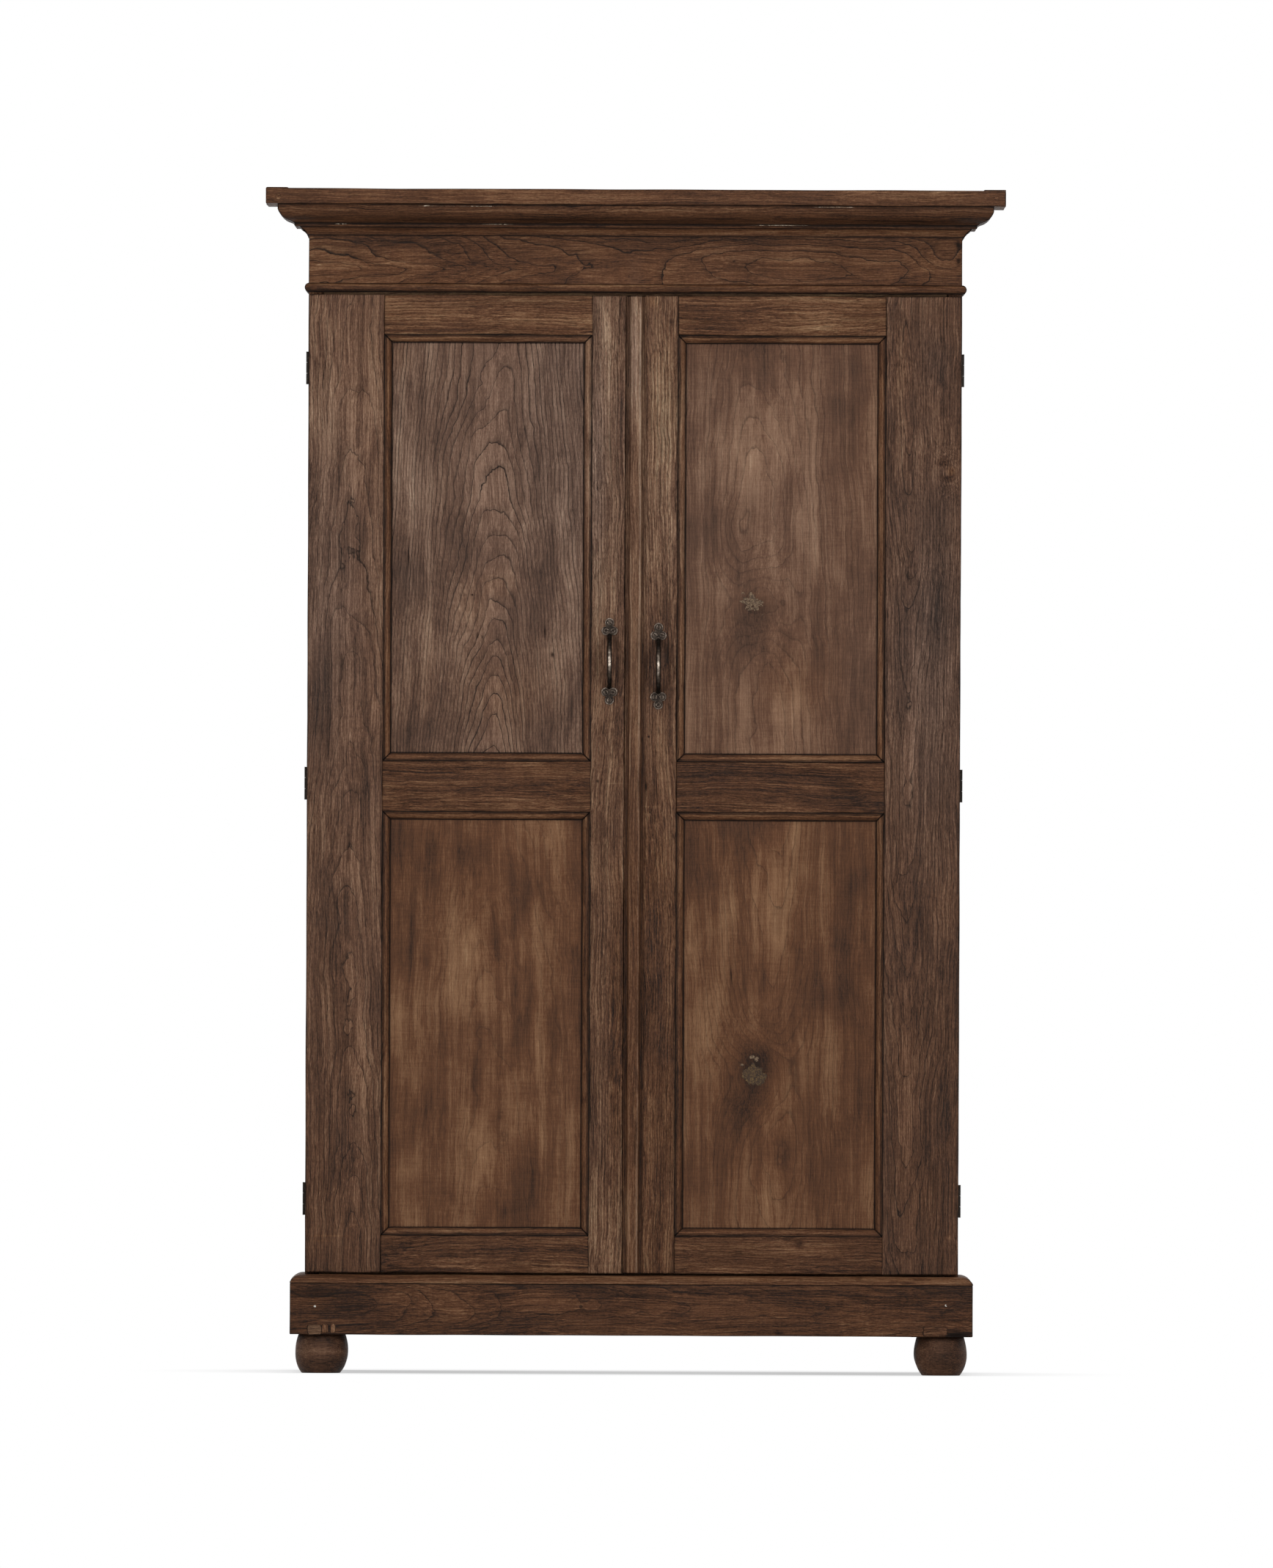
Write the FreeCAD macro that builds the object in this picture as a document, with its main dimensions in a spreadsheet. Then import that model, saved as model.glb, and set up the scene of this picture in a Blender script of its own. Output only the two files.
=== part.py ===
import FreeCAD, Part
import os
from types import SimpleNamespace

import Sketcher

# A two-door armoire of solid wood on turned feet, in millimetres
# +X is to the right seen from the front, the doors face -Y, and +Z is up.
# The origin is on the floor, under the middle of the whole cabinet.

# Driving dimensions, one cell of the sheet each
SIZES = {
    # The whole
    "overall_height": 1840.0,
    "case_width": 1014.0,
    "case_depth": 451.0,
    # Feet and plinth
    "foot_height": 60.0,
    "foot_base_radius": 28.0,
    "foot_top_radius": 35.0,
    "foot_bulge": 7.8,
    "foot_inset": 49.0,
    "dowel_radius": 12.0,
    "dowel_length": 30.0,
    "foot_block_width": 76.0,
    "foot_block_height": 44.0,
    "plinth_height": 80.0,
    "plinth_board": 20.0,
    "plinth_projection": 23.0,
    "cap_height": 13.0,
    "cap_width": 60.0,
    "cap_nose": 18.0,
    "cap_nose_bulge": 3.0,
    "cap_lip": 1.5,
    # Case
    "side_thickness": 22.0,
    "side_stile": 60.0,
    "side_bottom_rail": 90.0,
    "side_middle_rail": 70.0,
    "side_middle_height": 850.0,
    "side_top_rail": 205.0,
    "board": 20.0,
    "plank_thickness": 12.0,
    "plank_gap": 1.0,
    "head_rail_thickness": 22.0,
    "head_rail_lap": 18.5,
    "shelf_setback": 34.0,
    "shelf_side_gap": 1.0,
    "lower_shelf_height": 505.0,
    "middle_shelf_height": 885.0,
    "upper_shelf_height": 1265.0,
    "bearer_height": 26.0,
    "bearer_thickness": 18.0,
    # Cornice
    "top_overhang": 67.0,
    "edging_height": 26.0,
    "edging_step": 2.0,
    "front_edging_width": 62.0,
    "side_edging_width": 34.0,
    "crown_height": 34.5,
    "crown_projection": 48.5,
    "crown_cap": 8.0,
    "crown_bulge": 2.6,
    "crown_hollow": 0.6,
    "fillet_height": 4.5,
    "fillet_projection": 22.0,
    "bed_height": 14.5,
    "bed_projection": 15.0,
    "bed_lip": 3.0,
    "bed_shoulder": 3.0,
    "bed_bulge": 1.5,
    "frieze_height": 73.5,
    "necking_height": 14.0,
    "necking_projection": 6.5,
    # Doors
    "door_thickness": 22.0,
    "hang_gap": 1.0,
    "door_foot_gap": 3.5,
    "door_head_gap": 4.0,
    "door_side_inset": 0.5,
    "hanging_stile": 117.0,
    "opening_from_centre": 66.5,
    "bottom_rail": 58.0,
    "lower_opening": 658.0,
    "lock_rail": 78.0,
    "top_rail": 61.0,
    "panel_thickness": 9.0,
    "panel_recess": 9.0,
    "groove_depth": 8.0,
    "panel_float": 1.5,
    "tenon_length": 32.0,
    "tenon_thickness": 8.0,
    "tenon_shoulder": 9.0,
    "tenon_set": 7.0,
    "trim_width": 13.0,
    "trim_height": 8.5,
    "trim_flat": 3.0,
    "trim_toe": 1.5,
    # Meeting strip on the right door
    "strip_width": 30.0,
    "strip_offset": 1.5,
    "strip_flank": 6.0,
    "strip_base": 2.5,
    "strip_bulge": 6.0,
    "meeting_gap": 2.0,
    # Butt hinges
    "hinge_length": 50.8,
    "hinge_end_distance": 114.0,
    "knuckle_radius": 3.2,
    "knuckle_offset": 1.0,
    "knuckle_gap": 0.3,
    "leaf_thickness": 2.0,
    "door_leaf_width": 24.0,
    "case_leaf_width": 15.0,
    "pin_radius": 1.6,
    "pin_clearance": 0.05,
    "relief_clearance": 0.4,
    "hinge_screw_spread": 17.0,
    # Screws
    "screw_head_radius": 3.4,
    "screw_head_depth": 1.8,
    "screw_shank_radius": 1.7,
    "screw_length": 12.0,
    # Bow handles
    "handle_from_centre": 38.0,
    "left_handle_height": 1106.0,
    "right_handle_height": 1099.0,
    "lobe_radius": 7.2,
    "lobe_far": 60.0,
    "lobe_near": 48.0,
    "lobe_spread": 5.4,
    "plate_thickness": 2.5,
    "bow_reach": 39.0,
    "bow_projection": 31.0,
    "bow_radius": 3.8,
    "bow_collar": 1.2,
    # Barrel bolts inside the left door
    "bolt_from_centre": 41.0,
    "bolt_radius": 4.0,
    "bolt_length": 84.0,
    "bolt_standoff": 10.0,
    "bolt_rest_gap": 2.0,
    "bolt_clearance": 0.06,
    "bolt_knob_radius": 3.5,
    "bolt_knob_length": 12.0,
    "bolt_knob_drop": 42.0,
    "bolt_plate_width": 24.0,
    "bolt_plate_length": 70.0,
    "bolt_plate_thickness": 2.0,
    "bolt_plate_drop": 12.0,
    "staple_width": 14.0,
    "staple_length": 12.0,
    "staple_depth": 16.0,
    "keeper_hole_radius": 5.0,
    "keeper_hole_depth": 16.0,
    "keeper_length": 24.0,
    "keeper_width": 14.0,
    "keeper_thickness": 2.0,
    # Magnetic catch of the right door
    "catch_from_centre": 44.0,
    "catch_length": 40.0,
    "catch_depth": 18.0,
    "catch_height": 14.0,
    "strike_thickness": 1.2,
    "strike_height": 12.0,
    "strike_gap": 0.5,
    # One overrun serves all cuts
    "overrun": 1.0,
}

# Where the crown's outline turns from hollow to round, as shares of its width and height past the fillet
CROWN_TURN_SHARES = (0.43, 0.26)
PLANK_COUNT = 6
NAME_OF = {-1: "left", 1: "right"}

doc = FreeCAD.newDocument("Armoire")
sheet = doc.addObject("Spreadsheet::Sheet", "Sizes")
for row, (alias, number) in enumerate(SIZES.items(), start=1):
    sheet.set(f"A{row}", alias)
    sheet.set(f"B{row}", str(number))
    sheet.setAlias(f"B{row}", alias)
doc.recompute()


class Size:
    """A length worked out from the sheet: its formula, for setExpression, and its value now."""

    def __init__(self, formula, value):
        self.formula = formula
        self.value = value

    def joined(self, sign, other, value):
        return Size(f"({self.formula} {sign} {other.formula})", value)

    def __add__(self, other):
        return self.joined("+", other, self.value + other.value)

    def __sub__(self, other):
        return self.joined("-", other, self.value - other.value)

    def __mul__(self, other):
        other = as_size(other)
        return self.joined("*", other, self.value * other.value)

    def __truediv__(self, other):
        other = as_size(other)
        return self.joined("/", other, self.value / other.value)

    def __neg__(self):
        return Size(f"(0 - {self.formula})", -self.value)


def as_size(number):
    """A plain count or share as a Size, and a Size as it is."""
    return number if isinstance(number, Size) else Size(repr(number), number)


ZERO = as_size(0)
cell = SimpleNamespace(**{alias: Size(f"Sizes.{alias}", number) for alias, number in SIZES.items()})

# Planes of the cabinet, front to back
depth = cell.top_overhang + cell.door_thickness + cell.hang_gap + cell.case_depth
back_y = depth / 2
top_front_y = -back_y
face_y = top_front_y + cell.top_overhang
door_back_y = face_y + cell.door_thickness
case_front_y = door_back_y + cell.hang_gap
planks_y = back_y - cell.plank_thickness
plinth_front_y = face_y - cell.plinth_projection

# Planes from side to side, measured from the middle
half_case = cell.case_width / 2
half_top = half_case + cell.top_overhang
half_plinth = half_case + cell.plinth_projection
side_inner = half_case - cell.side_thickness
door_outer = half_case - cell.door_side_inset
hanging_inner = door_outer - cell.hanging_stile
strip_low = cell.strip_offset - cell.strip_width / 2
strip_high = cell.strip_offset + cell.strip_width / 2
hinge_x = door_outer + cell.knuckle_offset
hinge_y = door_back_y + cell.hang_gap / 2

# Levels above the floor
plinth_z = cell.foot_height
cap_z = plinth_z + cell.plinth_height
case_z = cap_z + cell.cap_height
floor_z = case_z + cell.board
top_z = cell.overall_height - cell.edging_height
crown_z = top_z - cell.crown_height
bed_z = crown_z - cell.bed_height
necking_z = bed_z - cell.frieze_height - cell.necking_height
door_z = case_z + cell.door_foot_gap
door_top_z = necking_z - cell.door_head_gap
head_z = door_top_z - cell.head_rail_lap
hinge_levels = {
    "bottom": door_z + cell.hinge_end_distance,
    "middle": (door_z + door_top_z) / 2,
    "top": door_top_z - cell.hinge_end_distance,
}

nodes = {}


def keep(label, item):
    """Counts an object as the finished sub-part of that name."""
    item.Label = label
    nodes[label] = item
    return item


def bind(item, **formulas):
    """Binds properties of an object to sizes of the sheet."""
    for name, size in formulas.items():
        item.setExpression(name, size.formula)


def place(item, x, y, z):
    """Binds where an object stands to sizes of the sheet."""
    for axis, size in zip("xyz", (x, y, z)):
        item.setExpression(f"Placement.Base.{axis}", size.formula)


def board(label, x, y, z):
    """A square-edged board between a low and a high plane on each axis."""
    item = doc.addObject("Part::Box", label)
    bind(item, Length=x[1] - x[0], Width=y[1] - y[0], Height=z[1] - z[0])
    place(item, x[0], y[0], z[0])
    return item


def turned(item, along, up):
    """Turns an object so that its own X runs along one direction and its own Y along another."""
    along = FreeCAD.Vector(*along)
    up = FreeCAD.Vector(*up)
    turn = FreeCAD.Rotation(along, up, along.cross(up), "XYZ")
    item.Placement = FreeCAD.Placement(FreeCAD.Vector(), turn)


def rod(label, radius, length, foot, axis):
    """A round rod from the middle of its foot along an axis."""
    item = doc.addObject("Part::Cylinder", label)
    turn = FreeCAD.Rotation(FreeCAD.Vector(0, 0, 1), FreeCAD.Vector(*axis))
    item.Placement = FreeCAD.Placement(FreeCAD.Vector(), turn)
    bind(item, Radius=radius, Height=length)
    place(item, *foot)
    return item


def fused(label, members):
    item = doc.addObject("Part::MultiFuse", label)
    item.Shapes = members
    return item


def grouped(label, members):
    item = doc.addObject("Part::Compound", label)
    item.Links = members
    return item


def cut(label, base, tools):
    """A solid with other solids taken out of it."""
    item = doc.addObject("Part::Cut", label)
    item.Base = base
    item.Tool = tools[0] if len(tools) == 1 else fused(label + "_tools", tools)
    return item


def across(side, near, far):
    """A span given by its distances from the middle: side is -1 on the left and 1 on the right."""
    return (near, far) if side > 0 else (-far, -near)


def sketch_on(body, role, label):
    """A sketch on one of its body's origin planes."""
    sketch = body.newObject("Sketcher::SketchObject", label)
    plane = next(feature for feature in body.Origin.OriginFeatures if feature.Role == role)
    sketch.AttachmentSupport = [(plane, "")]
    sketch.MapMode = "FlatFace"
    return sketch


def arc_between(start, end, rise):
    """The arc that leaves the chord by rise: outwards of an anticlockwise outline if rise is positive."""
    chord = end - start
    height = abs(rise)
    radius = chord.Length ** 2 / (8 * height) + height / 2
    outward = FreeCAD.Vector(chord.y, -chord.x, 0).normalize() * (1 if rise > 0 else -1)
    centre = (start + end) / 2 + outward * (height - radius)
    first, last = (start, end) if rise > 0 else (end, start)
    east = FreeCAD.Vector(1, 0, 0)
    angles = []
    for point in (first, last):
        arm = point - centre
        angles.append(arm.getAngle(east) * (1 if arm.y >= 0 else -1))
    circle = Part.Circle(centre, FreeCAD.Vector(0, 0, 1), radius)
    return Part.ArcOfCircle(circle, *angles)


def outline(sketch, corners, rises=None):
    """A closed anticlockwise outline through corners, each two sizes. rises gives, by the corner that a side
    leaves, how far that side bends out of its chord."""
    rises = rises or {}
    points = [FreeCAD.Vector(across_size.value, up_size.value, 0) for across_size, up_size in corners]
    count = len(points)
    for index in range(count):
        start = points[index]
        end = points[(index + 1) % count]
        if index in rises:
            sketch.addGeometry(arc_between(start, end, rises[index].value))
        else:
            sketch.addGeometry(Part.LineSegment(start, end))
    # Which end of each side is its start in the sketch: 1 is the first point and 2 the last
    first_end = [2 if index in rises and rises[index].value < 0 else 1 for index in range(count)]
    for index, corner in enumerate(corners):
        before = (index - 1) % count
        own_end = first_end[index]
        other_end = 3 - first_end[before]
        sketch.addConstraint(Sketcher.Constraint("Coincident", before, other_end, index, own_end))
        for kind, size, axis in zip(("DistanceX", "DistanceY"), corner, (-2, -1)):
            if size.value == 0:
                sketch.addConstraint(Sketcher.Constraint("PointOnObject", index, own_end, axis))
                continue
            distance = Sketcher.Constraint(kind, -1, 1, index, own_end, size.value)
            number = sketch.addConstraint(distance)
            name = f"{kind}{index}"
            sketch.renameConstraint(number, name)
            sketch.setExpression(f"Constraints.{name}", size.formula)
    for index, rise in rises.items():
        start = corners[index]
        end = corners[(index + 1) % count]
        run = end[0] - start[0]
        climb = end[1] - start[1]
        height = rise if rise.value > 0 else -rise
        radius = (run * run + climb * climb) / (height * 8) + height / 2
        number = sketch.addConstraint(Sketcher.Constraint("Radius", index, radius.value))
        sketch.renameConstraint(number, f"Radius{index}")
        sketch.setExpression(f"Constraints.Radius{index}", radius.formula)


def strip(label, corners, rises, run, reach=None, ends=(), inner=False):
    """A length of moulding: its outline, out along Y and up Z, runs along X from 0. Its ends named by 0, the
    start, and 1, the finish, are mitred for a corner that goes round the outside of what carries it, or
    round the inside."""
    body = doc.addObject("PartDesign::Body", label)
    profile = sketch_on(body, "YZ_Plane", label + "_profile")
    outline(profile, corners, rises)
    pad = body.newObject("PartDesign::Pad", label + "_pad")
    pad.Profile = profile
    bind(pad, Length=run)
    if not ends:
        return body
    waste = [(ZERO, ZERO), (reach, ZERO), (ZERO, reach)]
    if inner:
        waste = [(ZERO, ZERO), (reach, reach), (ZERO, reach)]
    for end in ends:
        corner = [(run - x, y) for x, y in reversed(waste)] if end else waste
        mitre = sketch_on(body, "XY_Plane", f"{label}_mitre{end}")
        outline(mitre, corner)
        pocket = body.newObject("PartDesign::Pocket", f"{label}_pocket{end}")
        pocket.Profile = mitre
        pocket.Type = "ThroughAll"
        pocket.Reversed = True
        body.Tip = pocket
    return body


def wrapped(label, corners, rises, mount_x, mount_y, reach, z):
    """A moulding round the front and both sides: three lengths, mitred at the front corners."""
    run = (mount_x + reach) * 2
    front = strip(label + "_front", corners, rises, run, reach, (0, 1))
    turned(front, (-1, 0, 0), (0, -1, 0))
    place(front, mount_x + reach, mount_y, z)
    side_run = back_y - mount_y + reach
    left = strip(label + "_left", corners, rises, side_run, reach, (0,))
    turned(left, (0, 1, 0), (-1, 0, 0))
    place(left, -mount_x, mount_y - reach, z)
    right = strip(label + "_right", corners, rises, side_run, reach, (1,))
    turned(right, (0, -1, 0), (1, 0, 0))
    place(right, mount_x, back_y, z)
    return front, left, right


def foot_places():
    """Where each foot stands: its row, its side, X and Y."""
    foot_x = half_plinth - cell.foot_inset
    front_foot_y = plinth_front_y + cell.foot_inset
    back_foot_y = back_y - cell.foot_inset
    for side in NAME_OF:
        x = foot_x if side > 0 else -foot_x
        yield "front", side, x, front_foot_y
        yield "back", side, x, back_foot_y


def turned_foot(label, x, y):
    """A bun foot turned in one piece with the dowel that enters its block."""
    body = doc.addObject("PartDesign::Body", label)
    profile = sketch_on(body, "XZ_Plane", label + "_profile")
    corners = [
        (ZERO, ZERO),
        (cell.foot_base_radius, ZERO),
        (cell.foot_top_radius, cell.foot_height),
        (cell.dowel_radius, cell.foot_height),
        (cell.dowel_radius, cell.foot_height + cell.dowel_length),
        (ZERO, cell.foot_height + cell.dowel_length),
    ]
    outline(profile, corners, {1: cell.foot_bulge})
    spin = body.newObject("PartDesign::Revolution", label + "_turning")
    spin.Profile = profile
    spin.ReferenceAxis = (profile, ["V_Axis"])
    spin.Angle = 360
    place(body, x, y, ZERO)
    return body


def feet_and_blocks():
    feet = {"front": [], "back": []}
    blocks = []
    for row, side, x, y in foot_places():
        name = f"{row}_{NAME_OF[side]}"
        feet[row].append(turned_foot(f"foot_{name}", x, y))
        inner_face = half_plinth - cell.plinth_board
        x_span = across(side, inner_face - cell.foot_block_width, inner_face)
        if row == "front":
            near_y = plinth_front_y + cell.plinth_board
            y_span = (near_y, near_y + cell.foot_block_width)
        else:
            far_y = back_y - cell.plinth_board
            y_span = (far_y - cell.foot_block_width, far_y)
        block = board(f"block_{name}", x_span, y_span, (plinth_z, plinth_z + cell.foot_block_height))
        hole = rod(f"dowel_hole_{name}", cell.dowel_radius, cell.dowel_length, (x, y, plinth_z), (0, 0, 1))
        blocks.append(cut(f"bored_block_{name}", block, [hole]))
    for row, pair in feet.items():
        keep(f"{row}_feet", grouped(f"{row}_feet", pair))
    keep("foot_blocks", grouped("foot_blocks", blocks))


def rectangle(width, height):
    return [(ZERO, ZERO), (width, ZERO), (width, height), (ZERO, height)]


def plinth():
    """Three mitred boards, a back board between them, and a rounded cap frame that carries the case."""
    mount_x = half_plinth - cell.plinth_board
    mount_y = plinth_front_y + cell.plinth_board
    section = rectangle(cell.plinth_board, cell.plinth_height)
    front, left, right = wrapped("plinth", section, {}, mount_x, mount_y, cell.plinth_board, plinth_z)
    keep("plinth_front", front)
    keep("plinth_sides", grouped("plinth_sides", [left, right]))
    back = board(
        "plinth_back", (-mount_x, mount_x), (back_y - cell.plinth_board, back_y), (plinth_z, cap_z)
    )
    keep("plinth_back", back)
    nose_start = cell.cap_width - cell.cap_nose
    section = [
        (ZERO, ZERO),
        (cell.cap_width, ZERO),
        (cell.cap_width, cell.cap_lip),
        (nose_start, cell.cap_height),
        (ZERO, cell.cap_height),
    ]
    mount_x = half_plinth - cell.cap_width
    mount_y = plinth_front_y + cell.cap_width
    lengths = wrapped(
        "cap", section, {2: cell.cap_nose_bulge}, mount_x, mount_y, cell.cap_width, cap_z
    )
    keep("plinth_cap", grouped("plinth_cap", list(lengths)))


def cornice():
    """Necking bead, frieze, bed moulding, crown moulding and the flat top with its edging."""
    frieze = board("frieze", (-half_case, half_case), (face_y, case_front_y), (necking_z, top_z))
    keep("frieze", frieze)
    section = [(ZERO, ZERO), (ZERO, cell.necking_height)]
    bulge = cell.necking_projection
    lengths = wrapped("necking", section, {0: bulge}, half_case, face_y, bulge, necking_z)
    keep("necking_bead", grouped("necking_bead", list(lengths)))
    section = [
        (ZERO, ZERO),
        (cell.bed_lip, ZERO),
        (cell.bed_projection - cell.bed_lip, cell.bed_height - cell.bed_shoulder),
        (cell.bed_projection, cell.bed_height),
        (ZERO, cell.bed_height),
    ]
    lengths = wrapped("bed", section, {1: cell.bed_bulge}, half_case, face_y, cell.bed_projection, bed_z)
    keep("bed_moulding", grouped("bed_moulding", list(lengths)))
    rise_z = cell.crown_height - cell.fillet_height - cell.crown_cap
    run_y = cell.crown_projection - cell.fillet_projection
    turn_y = cell.fillet_projection + run_y * CROWN_TURN_SHARES[0]
    turn_z = cell.fillet_height + rise_z * CROWN_TURN_SHARES[1]
    section = [
        (ZERO, ZERO),
        (cell.fillet_projection, ZERO),
        (cell.fillet_projection, cell.fillet_height),
        (turn_y, turn_z),
        (cell.crown_projection, cell.crown_height - cell.crown_cap),
        (cell.crown_projection, cell.crown_height),
        (ZERO, cell.crown_height),
    ]
    rises = {2: -cell.crown_hollow, 3: cell.crown_bulge}
    lengths = wrapped("crown", section, rises, half_case, face_y, cell.crown_projection, crown_z)
    keep("crown_moulding", grouped("crown_moulding", list(lengths)))
    edging_back_y = top_front_y + cell.front_edging_width
    panel_half = half_top - cell.side_edging_width
    low_z = (top_z, cell.overall_height - cell.edging_step)
    front = board("top_edging_front", (-half_top, half_top), (top_front_y, edging_back_y), low_z)
    keep("top_edging_front", front)
    sides = [
        board(f"top_edging_{name}", across(side, panel_half, half_top), (edging_back_y, back_y),
              (top_z, cell.overall_height))
        for side, name in NAME_OF.items()
    ]
    keep("top_edging_sides", grouped("top_edging_sides", sides))
    keep("top_panel", board("top_panel", (-panel_half, panel_half), (edging_back_y, back_y), low_z))


def laid(kind, along, through, z):
    """The three spans of a piece in a frame that faces the front, or the side."""
    return (along, through, z) if kind == "front" else (through, along, z)


def framed(label, kind, stiles, rails, through, skin, tongue, extra=None):
    """A frame of two stiles and rails, tenoned together, round floating panels in grooves.
    stiles gives the spans of the low and the high stile, rails each rail's name and levels from the bottom
    up, through the frame's thickness, skin the faces of its panels and tongue the faces of its tenons."""
    extra = extra or {}
    opening = (stiles[0][1], stiles[1][0])
    grooves = []
    panels = []
    for number, (below, above) in enumerate(zip(rails, rails[1:])):
        z = (below[1][1], above[1][0])
        reach = cell.groove_depth
        spans = laid(kind, (opening[0] - reach, opening[1] + reach), skin, (z[0] - reach, z[1] + reach))
        grooves.append(board(f"{label}_groove{number}", *spans))
        reach = cell.groove_depth - cell.panel_float
        spans = laid(kind, (opening[0] - reach, opening[1] + reach), skin, (z[0] - reach, z[1] + reach))
        panels.append(board(f"{label}_panel{number}", *spans))
    tenons = {0: [], 1: []}
    finished = {}
    for name, z in rails:
        body = board(f"{label}_{name}_bar", *laid(kind, opening, through, z))
        tenon_z = (z[0] + cell.tenon_shoulder, z[1] - cell.tenon_shoulder)
        low = laid(kind, (opening[0] - cell.tenon_length, opening[0]), tongue, tenon_z)
        high = laid(kind, (opening[1], opening[1] + cell.tenon_length), tongue, tenon_z)
        low = board(f"{label}_{name}_low_tenon", *low)
        high = board(f"{label}_{name}_high_tenon", *high)
        tenons[0].append(low)
        tenons[1].append(high)
        whole = fused(f"{label}_{name}_blank", [body, low, high])
        finished[name] = cut(f"{label}_{name}", whole, grooves)
    z = (rails[0][1][0], rails[-1][1][1])
    for end, span in enumerate(stiles):
        blank = board(f"{label}_stile{end}_blank", *laid(kind, span, through, z))
        tools = grooves + tenons[end] + extra.get(end, [])
        finished[f"stile{end}"] = cut(f"{label}_stile{end}", blank, tools)
    return finished, panels


def flipped(side, spans):
    """Two spans in order from the left: the near one first on the right side, the far one on the left."""
    near, far = spans
    return [near, far] if side > 0 else [far, near]


def screw(label, x, y, z, inward):
    """A countersunk screw whose head lies flush at y and whose shank goes in along Y."""
    head = doc.addObject("Part::Cone", label + "_head")
    turn = FreeCAD.Rotation(FreeCAD.Vector(0, 0, 1), FreeCAD.Vector(0, inward, 0))
    head.Placement = FreeCAD.Placement(FreeCAD.Vector(), turn)
    bind(head, Radius1=cell.screw_head_radius, Radius2=cell.screw_shank_radius)
    bind(head, Height=cell.screw_head_depth)
    place(head, x, y, z)
    shank = rod(label + "_shank", cell.screw_shank_radius, cell.screw_length, (x, y, z), (0, inward, 0))
    return fused(label, [head, shank])


def hinges(side):
    """Three butt hinges of one door: leaves with their knuckles, pins and screws, and their cuts."""
    name = NAME_OF[side]
    x = hinge_x if side > 0 else -hinge_x
    upright = (0, 0, 1)
    barrel_gap = cell.knuckle_radius + cell.knuckle_gap
    bore_radius = cell.pin_radius + cell.pin_clearance
    relief_radius = cell.knuckle_radius + cell.relief_clearance
    knuckle = (cell.hinge_length - cell.knuckle_gap * 2) / 3
    made = SimpleNamespace(door_leaves=[], case_leaves=[], pins=[], door_screws=[], case_screws=[])
    made.door_cuts = []
    made.case_cuts = []
    for level, middle_z in hinge_levels.items():
        label = f"{name}_{level}_hinge"
        low_z = middle_z - cell.hinge_length / 2
        high_z = middle_z + cell.hinge_length / 2
        ends = (low_z, high_z)
        foot = (x, hinge_y, low_z)
        knuckles = [low_z + (knuckle + cell.knuckle_gap) * number for number in range(3)]
        bore = rod(label + "_bore", bore_radius, cell.hinge_length, foot, upright)
        door_leaf_y = (door_back_y - cell.leaf_thickness, door_back_y)
        case_leaf_y = (case_front_y, case_front_y + cell.leaf_thickness)
        leaves = {
            "door": (cell.door_leaf_width, door_leaf_y, [1], -1),
            "case": (cell.case_leaf_width, case_leaf_y, [0, 2], 1),
        }
        for leaf, (width, thickness, own, inward) in leaves.items():
            near = hinge_x - barrel_gap - width
            far = hinge_x - barrel_gap
            pieces = [board(f"{label}_{leaf}_plate", across(side, near, far), thickness, ends)]
            for number in own:
                z = knuckles[number]
                web = across(side, far, hinge_x)
                pieces.append(board(f"{label}_{leaf}_web{number}", web, thickness, (z, z + knuckle)))
                barrel_name = f"{label}_{leaf}_knuckle{number}"
                pieces.append(rod(barrel_name, cell.knuckle_radius, knuckle, (x, hinge_y, z), upright))
            face = thickness[1] if leaf == "door" else thickness[0]
            middle_x = (near + far) / 2 if side > 0 else -(near + far) / 2
            screws = []
            for number in (-1, 1):
                screw_z = middle_z + cell.hinge_screw_spread * number
                screws.append(screw(f"{label}_{leaf}_screw{number}", middle_x, face, screw_z, inward))
            blank = fused(f"{label}_{leaf}_blank", pieces)
            getattr(made, leaf + "_leaves").append(cut(f"{label}_{leaf}_leaf", blank, [bore] + screws))
            getattr(made, leaf + "_screws").extend(screws)
            mortise = board(
                f"{label}_{leaf}_mortise", across(side, near, half_case + cell.overrun), thickness, ends
            )
            relief = rod(f"{label}_{leaf}_relief", relief_radius, cell.hinge_length, foot, upright)
            getattr(made, leaf + "_cuts").extend([mortise, relief] + screws)
        made.pins.append(rod(label + "_pin", cell.pin_radius, cell.hinge_length, foot, upright))
    return made


def case_sides(hinge_sets):
    """Each side is a frame with two panels. Its front stile takes the hinges' case leaves."""
    middle_z = case_z + cell.side_middle_height
    levels = [
        ("bottom_rail", (case_z, case_z + cell.side_bottom_rail)),
        ("middle_rail", (middle_z, middle_z + cell.side_middle_rail)),
        ("top_rail", (top_z - cell.side_top_rail, top_z)),
    ]
    stiles = [(case_front_y, case_front_y + cell.side_stile), (planks_y - cell.side_stile, planks_y)]
    for side, name in NAME_OF.items():
        through = across(side, side_inner, half_case)
        outer = half_case - cell.tenon_set
        skin = across(side, outer - cell.panel_thickness, outer)
        tongue = across(side, outer - cell.tenon_thickness, outer)
        extra = {0: hinge_sets[side].case_cuts}
        frame, panels = framed(f"{name}_side", "side", stiles, levels, through, skin, tongue, extra)
        keep(f"{name}_side_frame", grouped(f"{name}_side_frame", list(frame.values())))
        keep(f"{name}_side_panels", grouped(f"{name}_side_panels", panels))


def bolt_axis_places():
    """The barrel bolts' line inside the left door: X and Y."""
    return -cell.bolt_from_centre, door_back_y + cell.bolt_standoff


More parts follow.
